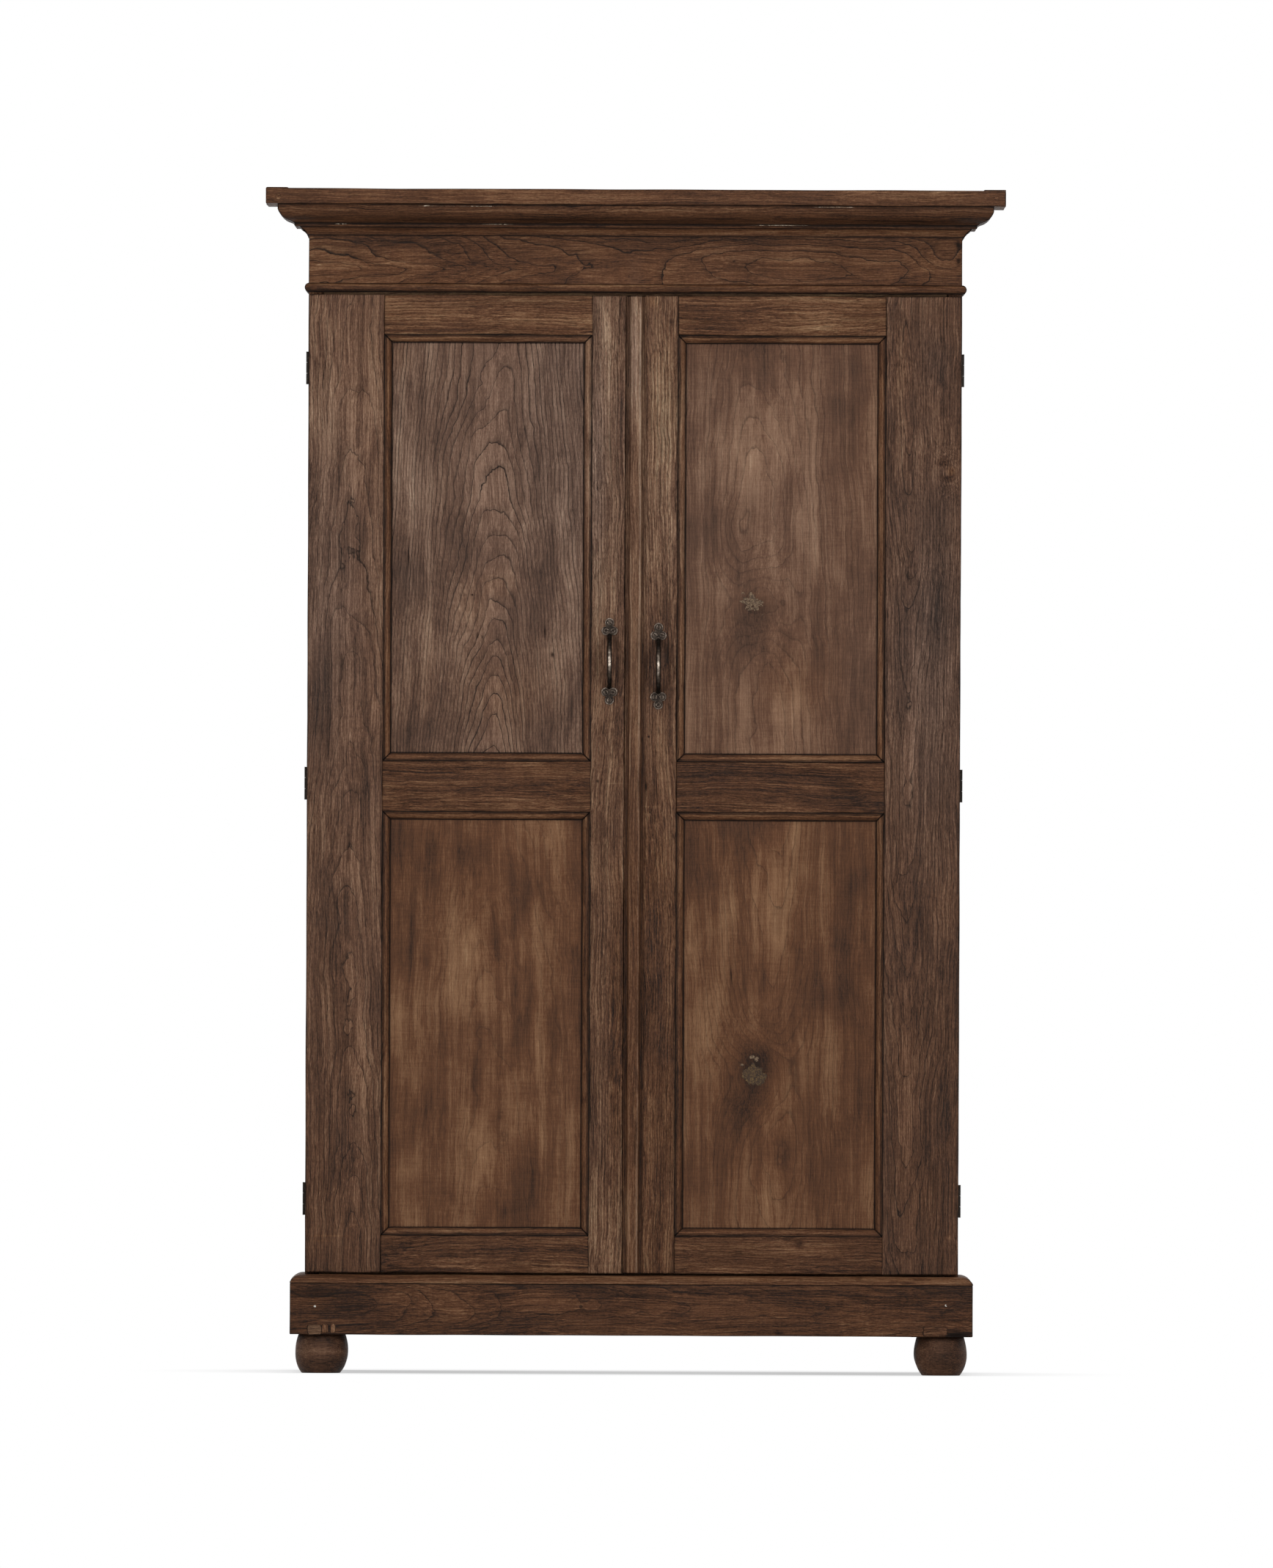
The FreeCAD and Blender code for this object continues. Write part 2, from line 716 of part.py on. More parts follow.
def keeper(label, z, up):
    """A bolt's keeper plate, let in flush at level z, and what is cut out for it and for the bolt's end."""
    x, y = bolt_axis_places()
    half_length = cell.keeper_length / 2
    half_width = cell.keeper_width / 2
    far_z = z + cell.keeper_thickness * up
    z_span = (z, far_z) if up > 0 else (far_z, z)
    seat_spans = (x - half_length, x + half_length), (y - half_width, y + half_width), z_span
    plate = board(label + "_plate", *seat_spans)
    seat = board(label + "_seat", *seat_spans)
    hole = rod(label + "_hole", cell.keeper_hole_radius, cell.keeper_hole_depth, (x, y, z), (0, 0, up))
    return cut(label, plate, [hole]), [seat, hole]


def case_boards():
    """Floor, ceiling, head rail, back planks, shelves and their bearers, with the keepers and the catch."""
    inside_x = (-side_inner, side_inner)
    inside_y = (case_front_y, planks_y)
    foot_keeper, floor_cuts = keeper("foot_keeper", floor_z, -1)
    head_keeper, head_cuts = keeper("head_keeper", head_z, 1)
    floor = board("floor_blank", inside_x, inside_y, (case_z, floor_z))
    keep("bottom_board", cut("bottom_board", floor, floor_cuts))
    rail_y = (case_front_y, case_front_y + cell.head_rail_thickness)
    rail = board("head_rail_blank", inside_x, rail_y, (head_z, top_z))
    keep("head_rail", cut("head_rail", rail, head_cuts))
    keep("bolt_keepers", grouped("bolt_keepers", [foot_keeper, head_keeper]))
    ceiling = board("case_ceiling", inside_x, (rail_y[1], planks_y), (necking_z, necking_z + cell.board))
    keep("case_ceiling", ceiling)
    pitch = cell.case_width / PLANK_COUNT
    planks = []
    for number in range(PLANK_COUNT):
        low = pitch * number - half_case
        x = (low + cell.plank_gap / 2, low + pitch - cell.plank_gap / 2)
        planks.append(board(f"back_plank{number}", x, (planks_y, back_y), (case_z, top_z)))
    keep("back_planks", grouped("back_planks", planks))
    shelf_y = (case_front_y + cell.shelf_setback, planks_y)
    shelf_x = (-side_inner + cell.shelf_side_gap, side_inner - cell.shelf_side_gap)
    heights = {
        "lower_shelf": cell.lower_shelf_height,
        "middle_shelf": cell.middle_shelf_height,
        "upper_shelf": cell.upper_shelf_height,
    }
    bearers = []
    for name, z in heights.items():
        keep(name, board(name, shelf_x, shelf_y, (z, z + cell.board)))
        for side, side_name in NAME_OF.items():
            x = across(side, side_inner - cell.bearer_thickness, side_inner)
            bearers.append(board(f"{name}_{side_name}_bearer", x, shelf_y, (z - cell.bearer_height, z)))
    keep("shelf_bearers", grouped("shelf_bearers", bearers))
    catch_x = (cell.catch_from_centre, cell.catch_from_centre + cell.catch_length)
    near_y = door_back_y + cell.strike_thickness + cell.strike_gap
    catch_y = (near_y, near_y + cell.catch_depth)
    catch_z = (head_z - cell.catch_height, head_z)
    keep("magnetic_catch", board("magnetic_catch", catch_x, catch_y, catch_z))


def panel_trim(label, x, z):
    """Four mitred lengths of sloped moulding that hold one panel, inside its opening."""
    panel_y = face_y + cell.panel_recess
    section = [
        (ZERO, ZERO),
        (cell.trim_width, ZERO),
        (cell.trim_width, cell.trim_toe),
        (cell.trim_flat, cell.trim_height),
        (ZERO, cell.trim_height),
    ]
    runs = {
        "bottom": (x[1] - x[0], (1, 0, 0), (0, 0, 1), (x[0], z[0])),
        "right": (z[1] - z[0], (0, 0, 1), (-1, 0, 0), (x[1], z[0])),
        "top": (x[1] - x[0], (-1, 0, 0), (0, 0, -1), (x[1], z[1])),
        "left": (z[1] - z[0], (0, 0, -1), (1, 0, 0), (x[0], z[1])),
    }
    lengths = []
    for name, (run, along, inward, corner) in runs.items():
        item = strip(f"{label}_{name}", section, {}, run, cell.trim_width, (0, 1), inner=True)
        turned(item, along, inward)
        place(item, corner[0], panel_y, corner[1])
        lengths.append(item)
    return lengths


def handle(side):
    """A forged bow pull: an arched rod between two trefoil plates, in one piece, and its six screws."""
    name = NAME_OF[side]
    x = cell.handle_from_centre if side > 0 else -cell.handle_from_centre
    level = cell.right_handle_height if side > 0 else cell.left_handle_height
    front_y = face_y - cell.plate_thickness
    sagitta = cell.bow_projection
    radius = (cell.bow_reach * cell.bow_reach + sagitta * sagitta) / (sagitta * 2)
    ring = doc.addObject("Part::Torus", f"{name}_bow_ring")
    turned(ring, (0, 1, 0), (0, 0, 1))
    bind(ring, Radius1=radius, Radius2=cell.bow_radius)
    place(ring, x, front_y - sagitta + radius, level)
    span = radius + cell.bow_radius + cell.overrun
    behind = board(
        f"{name}_bow_waste",
        (x - span, x + span),
        (face_y, face_y + span * 2),
        (level - span, level + span),
    )
    pieces = [cut(f"{name}_bow", ring, [behind])]
    screws = []
    for up in (-1, 1):
        pieces.append(
            rod(f"{name}_bow_seat{up}", cell.bow_radius + cell.bow_collar, cell.plate_thickness,
                (x, face_y, level + cell.bow_reach * up), (0, -1, 0))
        )
        lobes = [
            (ZERO, cell.lobe_far),
            (-cell.lobe_spread, cell.lobe_near),
            (cell.lobe_spread, cell.lobe_near),
        ]
        for number, (aside, away) in enumerate(lobes):
            z = level + away * up
            foot = (x + aside, face_y, z)
            lobe = rod(f"{name}_lobe{up}{number}", cell.lobe_radius, cell.plate_thickness, foot, (0, -1, 0))
            pieces.append(lobe)
            screws.append(screw(f"{name}_handle_screw{up}{number}", x + aside, front_y, z, 1))
    blank = fused(f"{name}_handle_blank", pieces)
    return cut(f"{name}_handle", blank, screws), screws


def barrel_bolt(label, tip_z, up):
    """A barrel bolt on the left door's back, drawn open: a plate with two staples, and the knobbed rod."""
    x, y = bolt_axis_places()
    rest_z = tip_z - cell.bolt_rest_gap * up
    foot_z = rest_z - cell.bolt_length * up
    shaft = rod(label + "_shaft", cell.bolt_radius, cell.bolt_length, (x, y, foot_z), (0, 0, up))
    knob_z = rest_z - cell.bolt_knob_drop * up
    knob = rod(label + "_knob", cell.bolt_knob_radius, cell.bolt_knob_length, (x, y, knob_z), (0, 1, 0))
    bolt_rod = fused(label + "_rod", [shaft, knob])
    plate_high = rest_z - cell.bolt_plate_drop * up
    plate_low = plate_high - cell.bolt_plate_length * up
    half = cell.bolt_plate_width / 2
    levels = (plate_low, plate_high) if up > 0 else (plate_high, plate_low)
    thickness = (door_back_y, door_back_y + cell.bolt_plate_thickness)
    pieces = [board(label + "_plate", (x - half, x + half), thickness, levels)]
    half = cell.staple_width / 2
    for number, low in enumerate((levels[0], levels[1] - cell.staple_length)):
        depth_span = (door_back_y, door_back_y + cell.staple_depth)
        z = (low, low + cell.staple_length)
        pieces.append(board(f"{label}_staple{number}", (x - half, x + half), depth_span, z))
    bore = rod(
        label + "_bore", cell.bolt_radius + cell.bolt_clearance, cell.bolt_plate_length,
        (x, y, plate_low), (0, 0, up),
    )
    barrel = cut(label + "_barrel", fused(label + "_barrel_blank", pieces), [bore])
    return bolt_rod, barrel


def door(side, hinge_set):
    """One framed door with two panels, their mitred trim, its hinge leaves and its handle."""
    name = NAME_OF[side]
    near = strip_low if side > 0 else cell.meeting_gap - strip_low
    stiles = flipped(side, [
        across(side, near, cell.opening_from_centre),
        across(side, hanging_inner, door_outer),
    ])
    lock_z = door_z + cell.bottom_rail + cell.lower_opening
    levels = [
        ("bottom_rail", (door_z, door_z + cell.bottom_rail)),
        ("lock_rail", (lock_z, lock_z + cell.lock_rail)),
        ("top_rail", (door_top_z - cell.top_rail, door_top_z)),
    ]
    skin = (face_y + cell.panel_recess, face_y + cell.panel_recess + cell.panel_thickness)
    tongue = (face_y + cell.tenon_set, face_y + cell.tenon_set + cell.tenon_thickness)
    pull, pull_screws = handle(side)
    meeting = 0 if side > 0 else 1
    extra = {meeting: pull_screws, 1 - meeting: hinge_set.door_cuts}
    through = (face_y, door_back_y)
    frame, panels = framed(f"{name}_door", "front", stiles, levels, through, skin, tongue, extra)
    keep(f"{name}_meeting_stile", frame[f"stile{meeting}"])
    keep(f"{name}_hanging_stile", frame[f"stile{1 - meeting}"])
    for rail in ("bottom_rail", "lock_rail", "top_rail"):
        keep(f"{name}_{rail}", frame[rail])
    keep(f"{name}_lower_panel", panels[0])
    keep(f"{name}_upper_panel", panels[1])
    x = (stiles[0][1], stiles[1][0])
    trim = panel_trim(f"{name}_lower_trim", x, (levels[0][1][1], levels[1][1][0]))
    trim += panel_trim(f"{name}_upper_trim", x, (levels[1][1][1], levels[2][1][0]))
    keep(f"{name}_panel_trim", grouped(f"{name}_panel_trim", trim))
    keep(f"{name}_handle", pull)
    keep(f"{name}_handle_screws", grouped(f"{name}_handle_screws", pull_screws))
    keep(f"{name}_door_hinge_leaves", grouped(f"{name}_door_hinge_leaves", hinge_set.door_leaves))
    keep(f"{name}_door_hinge_screws", grouped(f"{name}_door_hinge_screws", hinge_set.door_screws))


def meeting_strip():
    """The planted bead that masks the line between the doors, on the right door."""
    inner = cell.strip_width - cell.strip_flank
    section = [
        (ZERO, ZERO),
        (cell.strip_width, ZERO),
        (cell.strip_width, cell.strip_base),
        (inner, cell.strip_base),
        (cell.strip_flank, cell.strip_base),
        (ZERO, cell.strip_base),
    ]
    item = strip("meeting_strip", section, {3: cell.strip_bulge}, door_top_z - door_z)
    turned(item, (0, 0, 1), (-1, 0, 0))
    place(item, strip_high, face_y, door_z)
    keep("meeting_strip", item)


feet_and_blocks()
plinth()
cornice()
hinge_sets = {side: hinges(side) for side in NAME_OF}
case_sides(hinge_sets)
case_boards()
for side, hinge_set in hinge_sets.items():
    door(side, hinge_set)
meeting_strip()
case_hardware = {
    "hinge_case_leaves": "case_leaves",
    "hinge_pins": "pins",
    "hinge_case_screws": "case_screws",
}
for label, part in case_hardware.items():
    members = [member for hinge_set in hinge_sets.values() for member in getattr(hinge_set, part)]
    keep(label, grouped(label, members))
top_rod, top_barrel = barrel_bolt("top_bolt", head_z, 1)
bottom_rod, bottom_barrel = barrel_bolt("bottom_bolt", floor_z, -1)
keep("top_bolt_rod", top_rod)
keep("bottom_bolt_rod", bottom_rod)
keep("bolt_barrels", grouped("bolt_barrels", [top_barrel, bottom_barrel]))
strike_x = (cell.catch_from_centre, cell.catch_from_centre + cell.catch_length)
strike_y = (door_back_y, door_back_y + cell.strike_thickness)
strike_z = (head_z - cell.strike_height - cell.strike_gap, head_z - cell.strike_gap)
keep("catch_strike", board("catch_strike", strike_x, strike_y, strike_z))

doc.recompute()

for item in doc.Objects:
    if "Invalid" in item.State or "Error" in item.State:
        raise RuntimeError(f"{item.Label} failed: {item.State}")
box = FreeCAD.BoundBox()
for label, item in nodes.items():
    shape = item.Shape
    if shape.isNull() or not shape.isValid() or not shape.Solids:
        raise RuntimeError(f"{label} has no valid solid")
    box.add(shape.BoundBox)

os.makedirs("parts", exist_ok=True)
for label, item in nodes.items():
    item.Shape.exportStep(f"parts/{label}.step")
    print(f"{label}: {len(item.Shape.Solids)} solids, {item.Shape.Volume:.0f} mm3")
print(len(nodes), "nodes")
for axis in "XYZ":
    low = getattr(box, f"{axis}Min")
    high = getattr(box, f"{axis}Max")
    print(f"{axis} {low:.2f} to {high:.2f}")
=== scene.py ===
from collections import namedtuple
from functools import partial
from math import cos, hypot, pi, radians, sin, sqrt

import bpy
import numpy as np
from mathutils import Matrix, Vector


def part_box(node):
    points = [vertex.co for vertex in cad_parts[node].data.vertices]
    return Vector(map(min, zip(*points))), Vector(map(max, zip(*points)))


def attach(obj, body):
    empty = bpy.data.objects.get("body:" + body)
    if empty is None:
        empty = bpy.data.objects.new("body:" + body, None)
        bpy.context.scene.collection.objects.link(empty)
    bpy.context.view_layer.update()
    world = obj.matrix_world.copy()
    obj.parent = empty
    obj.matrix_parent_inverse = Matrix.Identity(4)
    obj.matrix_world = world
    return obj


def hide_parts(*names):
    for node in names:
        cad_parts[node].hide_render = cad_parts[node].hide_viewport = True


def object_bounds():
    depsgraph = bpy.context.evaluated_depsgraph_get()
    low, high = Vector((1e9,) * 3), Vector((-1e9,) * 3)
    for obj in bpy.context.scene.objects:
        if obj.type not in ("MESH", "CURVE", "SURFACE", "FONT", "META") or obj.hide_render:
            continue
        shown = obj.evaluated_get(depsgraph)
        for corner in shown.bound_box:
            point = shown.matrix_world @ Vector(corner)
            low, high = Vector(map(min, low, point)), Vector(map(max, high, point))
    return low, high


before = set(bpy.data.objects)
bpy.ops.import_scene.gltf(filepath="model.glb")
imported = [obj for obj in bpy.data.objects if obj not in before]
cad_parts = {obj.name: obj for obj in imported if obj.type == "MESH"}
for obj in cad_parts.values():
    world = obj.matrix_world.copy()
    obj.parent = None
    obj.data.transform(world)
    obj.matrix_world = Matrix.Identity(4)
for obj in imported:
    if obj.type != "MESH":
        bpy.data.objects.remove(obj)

# A two-door armoire of reclaimed teak, dressed over its packed construction
# Metres, +X to the right seen from the front, the doors face -Y, +Z up, the floor at 0
MM = 0.001
X, Y, Z = 0, 1, 2
LEFT, RIGHT = -1, 1
SIDE_NAMES = {LEFT: "left", RIGHT: "right"}
cad_low, cad_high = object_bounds()

# The photograph's frame: the column of the cabinet's middle, the row of its floor, its size at the doors and its
# tilt, and from these where the camera stands
PHOTO_WIDTH, PHOTO_HEIGHT = 1736, 2138
MIDDLE_COLUMN, FLOOR_ROW = 863.8, 1874.0
PIXEL = 1.1379 * MM
TILT = radians(0.25)
EYE_HEIGHT = (FLOOR_ROW - PHOTO_HEIGHT / 2) * PIXEL
EYE_ACROSS = (PHOTO_WIDTH / 2 - MIDDLE_COLUMN) * PIXEL
EYE_DISTANCE = 85.0

# How finely the wood is laid out: a board's grid, its rounded arris and where that has grid lines
PITCH = 10 * MM
ARRIS = 1.1 * MM
ARRIS_SHARES = np.array([0.0, 0.4, 1.0, 2.5])
# How far its faces wander from flat and over what lengths, and over what lengths its arris wears, chips and is grimy
WANDER = 0.22 * MM
BOARD_WAVE, RUN_WAVE = 0.19, 0.15
WEAR_WAVE, CHIP_WAVE, GRIME_WAVE = 0.11, 0.035, 0.05
# How far grime reaches from an edge and painted shade from a seam, and how far apart along a log the seeds' pieces
# lie
EDGE_DARK_REACH = 1.2 * MM
LOG_STEP = 1.7


def span(node, **ends):
    """A node's lowest and highest corners, as two arrays. Ends give another start and end along x, y or z."""
    low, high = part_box(node)
    low, high = np.array(low), np.array(high)
    for letter, (start, end) in ends.items():
        axis = "xyz".index(letter)
        low[axis], high[axis] = start, end
    return low, high


def at(column, row):
    """Where a pixel of the photograph lies on the front: its X and Z, with the photograph's tilt taken out."""
    across = (column - MIDDLE_COLUMN) * PIXEL
    up = (FLOOR_ROW - row) * PIXEL
    return across - (up - EYE_HEIGHT) * TILT, up + across * TILT


# Marks and tones of the front

Mark = namedtuple("Mark", "x z wide tall light warm grime dent")


def placed(rows):
    """Marks from rows of a table: the pixel, half the width and height in mm, how much lighter and warmer the wood is
    there and, where a row goes on, how much darker it is from grime and painted shade and how deep a board is dented
    in mm."""
    marks = []
    for column, row, wide, tall, light, warm, *rest in rows:
        grime, dent = (*rest, 0.0, 0.0)[:2]
        marks.append(Mark(*at(column, row), wide * MM, tall * MM, light, warm, grime, dent * MM))
    return marks


# Scratches, dents, cracks, chips and spots, and a spot of painted shade
MARKS = placed((
    (557, 758, 1.1, 15, -0.25, 0.1, 0.75, 1.2),
    (743, 862, 1.2, 9, -0.25, 0.1, 0.8, 1.2),
    (753, 893, 2.2, 3.4, -0.2, 0.1, 0.8, 1.2),
    (644, 811, 1.5, 1.5, -0.2, 0.0, 0.8, 0.8),
    (607, 694, 1.5, 9, -0.15, 0.0, 0.35, 0.3),
    (651, 867, 1.3, 4, -0.2, 0.0, 0.5, 0.4),
    (658, 869, 1.3, 3, -0.2, 0.0, 0.5, 0.4),
    (997, 1330, 1.8, 13, -0.2, 0.0, 0.6, 0.8),
    (815, 1065, 2.2, 2.2, -0.2, 0.0, 0.7, 0.4),
    (884.5, 1004.6, 1.6, 1.6, -0.3, 0.0, 0.9, 0.8),
    (875.5, 1010, 1.3, 4, -0.3, 0.0, 0.9, 0.8),
    (881, 1073, 2.0, 6, -0.2, 0.2, 0.6, 0.6),
    (886, 1100, 12, 1.4, 0.25, 0.0, 0.0, 0.1),
    (425, 324, 4, 1.6, 0.35, -0.2, 0.0, 0.2),
    (425, 348, 4, 2, 0.3, -0.2, 0.0, 0.2),
    (435, 361, 5, 1.6, 0.35, -0.2, 0.0, 0.2),
    (450, 377, 4, 1.2, 0.25, -0.2, 0.0, 0.2),
    (431, 375, 6, 1.4, 0.2, -0.2, 0.0, 0.2),
    (467, 366, 12, 1.0, 0.2, -0.2, 0.0, 0.1),
    (1307, 334, 3, 6, -0.25, 0.0, 0.6, 0.5),
    (1305, 345, 4, 4, 0.1, -0.2, 0.1, 0.4),
    (1307, 356, 3, 5, -0.25, 0.0, 0.6, 0.5),
    (362.5, 275, 4, 3, 0.25, -0.1, 0.0, 0.2),
    # This row is painted shade: a dark, grimy spot for a notch in the plinth's lower edge, where nothing is cut
    (1306, 1820.5, 15, 4.0, -0.6, 0.0, 2.0),
    (448.5, 1812, 1.3, 7, -0.5, 0.0, 1.2, 1.0),
    (432, 1760, 38, 8, -0.22, 0.1, 0.25),
    (1276, 1810.6, 21, 0.9, -0.3, 0.0, 0.8, 0.3),
    (1294, 1817, 0.9, 8, -0.3, 0.0, 0.8, 0.3),
    (838, 1068, 12, 1.2, 0.2, 0.0, 0.0, 0.1),
    (1165, 780, 5, 5, -0.2, 0.0, 0.35),
    (1297, 643, 7, 6, 0.2, 0.6, 0.0, 0.3),
    (1291, 652, 10, 4, -0.25, 0.4, 0.2),
    (1286, 632, 8, 5, -0.2, 0.4, 0.15),
    (1028, 823, 20, 16, -0.1, 0.2, 0.2),
    (1028, 1467, 20, 19, -0.05, 0.4, 0.1),
    (1061, 1818, 3, 3, -0.2, 0.0, 0.6, 0.3),
    (444, 1685, 26, 1.6, 0.16, 0.3, 0.0, 0.1),
    (438, 1692, 16, 1.6, 0.12, 0.25, 0.0, 0.1),
    (1090, 1696.5, 7, 5, -0.22, 0.0, 0.5, 0.3),
    (1204, 1700, 3, 42, 0.2, 0.1, 0.0, 0.4),
    (1294, 1688, 5, 4, 0.25, 0.15, 0.0, 0.3),
    (1262, 1700, 4, 4, 0.12, 0.1, 0.0, 0.2),
    (916, 439, 4, 4, -0.15, 0.0, 0.5, 0.2),
    (816, 423, 4, 4, 0.1, 0.1, 0.2, 0.1),
    (890, 412, 10, 8, 0.14, 0.3),
))
# Broad tones, which run over every board that they reach
TONES = placed((
    # This first tone is a painted reflection: a pale grey sheen over the upper doors, lighter and less warm
    (864, 660, 420, 380, 0.05, -0.3),
    (568, 660, 24, 80, 0.16, -0.1),
    (555, 790, 24, 45, -0.08, -0.2),
    (585, 900, 14, 80, 0.12, 0.1),
    (570, 960, 34, 50, 0.10, 0.1),
    (680, 795, 42, 20, 0.16, 0.2),
    (640, 830, 26, 30, 0.10, 0.2),
    (700, 950, 70, 60, 0.04, 0.25),
    (760, 600, 50, 170, -0.08, -0.25),
    (540, 480, 22, 30, -0.04, 0.3),
    (1010, 470, 90, 40, -0.10, 0.15),
    (1120, 640, 70, 110, 0.03, 0.0),
    (1010, 840, 60, 26, -0.12, 0.0),
    (1080, 930, 60, 60, 0.04, 0.2),
    (1170, 900, 24, 120, -0.06, -0.1),
    (1020, 1245, 44, 60, 0.15, 0.1),
    (1140, 1310, 16, 40, 0.1, 0.1),
    (1032, 1450, 42, 42, -0.34, 1.2),
    (1022, 1512, 42, 34, -0.2, 1.2),
    (960, 1560, 26, 70, 0.08, 0.1),
    (1165, 1600, 26, 50, 0.08, 0.1),
    (1160, 1360, 26, 90, -0.12, 0.15),
    (900, 1420, 26, 110, -0.04, 0.1),
    (640, 1180, 90, 60, -0.06, 0.05),
    (590, 1330, 40, 80, 0.08, 0.2),
    (680, 1420, 70, 90, 0.06, 0.2),
    (620, 1580, 60, 50, 0.08, 0.15),
    (760, 1560, 30, 60, 0.08, 0.2),
    (540, 1180, 18, 60, -0.08, 0.1),
    (470, 540, 90, 190, 0.14, -0.1),
    (440, 1000, 30, 130, -0.06, -0.05),
    (470, 1700, 80, 160, -0.09, 0.1),
    (815, 560, 40, 210, 0.14, -0.1),
    (1250, 450, 40, 60, -0.08, -0.1),
    (1245, 580, 50, 120, 0.09, 0.0),
    (1285, 760, 20, 140, -0.10, -0.15),
    (1250, 1230, 50, 40, 0.04, 0.1),
    (1260, 1600, 80, 220, -0.07, 0.1),
    (660, 1000, 150, 30, -0.10, -0.1),
    (430, 350, 60, 60, 0.07, 0.0),
    (1290, 350, 60, 60, 0.07, 0.0),
    (950, 437, 40, 30, -0.10, 0.1),
    (1085, 437, 50, 30, 0.06, 0.1),
    (1085, 1708, 50, 30, 0.07, 0.1),
    (900, 540, 34, 180, 0.15, 0.05),
    (866, 480, 9, 110, 0.06, -0.6),
    (950, 1088, 34, 14, 0.10, 0.1),
    (1075, 1092, 22, 10, 0.13, 0.1),
    (1150, 1078, 30, 16, -0.08, 0.1, 0.04),
    (560, 1090, 34, 16, -0.08, 0.1, 0.04),
    (700, 1074, 30, 12, 0.10, 0.2),
    (815, 640, 12, 160, -0.06, -0.4),
    (840, 1400, 9, 220, -0.06, 0.3, 0.05),
    (860, 1420, 60, 260, -0.10, 0.1),
    (1265, 900, 60, 240, 0.03, -0.6),
    (1280, 492, 26, 40, -0.16, -0.3),
    (1228, 500, 14, 120, 0.1, 0.2),
    (446, 830, 60, 240, -0.02, -0.5),
    # These two are painted shadows: darker and grimier round each handle's bow
    (830, 902, 22, 50, -0.14, 0.0, 0.08),
    (897, 909, 22, 50, -0.14, 0.0, 0.08),
))


def drift(points, wavelength, seed):
    """A smooth random field, mostly from -1 to 1: the mean of sine waves that run in seeded directions at seeded
    phases, with wavelengths about the given one."""
    waves = 9
    random = np.random.default_rng(seed)
    ways = random.normal(size=(waves, 3)) * (2 * pi / wavelength / sqrt(3))
    phases = random.uniform(0, 2 * pi, waves)
    return np.sin(points @ ways.T + phases).sum(axis=-1) * sqrt(2 / waves)


def closeness(points, marks):
    """For each mark, how near each point of the front is to it: 1 at its middle and 0 well away, by the bell curve
    exp(-(dx / wide)^2 - (dz / tall)^2)."""
    for mark in marks:
        away_x = (points[:, X] - mark.x) / mark.wide
        away_z = (points[:, Z] - mark.z) / mark.tall
        yield mark, np.exp(-away_x ** 2 - away_z ** 2)


def marks_on(points):
    """The marks whose middle lies within the points' box."""
    low, high = np.min(points, axis=0), np.max(points, axis=0)
    return [mark for mark in MARKS if low[X] < mark.x < high[X] and low[Z] < mark.z < high[Z]]


def finish_of(points, tone, marks=()):
    """The wood's lightness, warmth, and grime with painted shade, at each point: its board's own tone, and those of
    the marks, faded by their closeness. Some tones and marks paint light: highlights, a reflection and shadows."""
    finish = np.tile(np.array(tone, float), (len(points), 1))
    for mark, near in closeness(points, marks):
        finish += near[:, None] * np.array([mark.light, mark.warm, mark.grime])
    return finish


# Materials

def linear(code):
    """An sRGB hex colour as linear red, green, blue and alpha."""
    parts = [int(code[start:start + 2], 16) / 255 for start in (1, 3, 5)]
    curved = [part / 12.92 if part <= 0.04045 else ((part + 0.055) / 1.055) ** 2.4 for part in parts]
    return (*curved, 1.0)


def feed(item, *values, **named):
    """Sets a node's inputs in their order, or by their names, or by i and a number. A value is a constant, a socket,
    or a node, which stands for its first output."""
    sockets = list(zip(item.inputs, values))
    for label, value in named.items():
        key = int(label[1:]) if label[1:].isdigit() else label.replace("_", " ")
        sockets.append((item.inputs[key], value))
    for socket, value in sockets:
        if isinstance(value, bpy.types.Node):
            value = value.outputs[0]
        if isinstance(value, bpy.types.NodeSocket):
            item.id_data.links.new(value, socket)
        else:
            socket.default_value = value


def add(tree, kind, *values, settings=None, **named):
    """Adds a node with its settings and feeds its inputs. The kind may name its operation after a space."""
    kind, *operation = kind.split()
    item = tree.nodes.new("ShaderNode" + kind)
    for label, value in (settings or {}).items():
        setattr(item, label, value)
    if operation:
        item.operation = operation[0]
    feed(item, *values, **named)
    return item


def stops(item, *pairs):
    """Sets a colour ramp's stops: places and hex colours."""
    ramp = item.color_ramp
    while len(ramp.elements) < len(pairs):
        ramp.elements.new(0.5)
    for element, (place, code) in zip(ramp.elements, pairs):
        element.position = place
        element.color = linear(code)
    return item


def material(name):
    """An empty material, what adds a node to it, and its principled shader."""
    item = bpy.data.materials.new(name)
    item.use_nodes = True
    return item, partial(add, item.node_tree), item.node_tree.nodes["Principled BSDF"]


def weighed(node, start, *terms):
    """Start, plus how far each socket is from its middle value times its weight."""
    total = start - sum(middle * weight for _, middle, weight in terms)
    for socket, _, weight in terms:
        total = node("Math MULTIPLY_ADD", socket, weight, total)
    return total


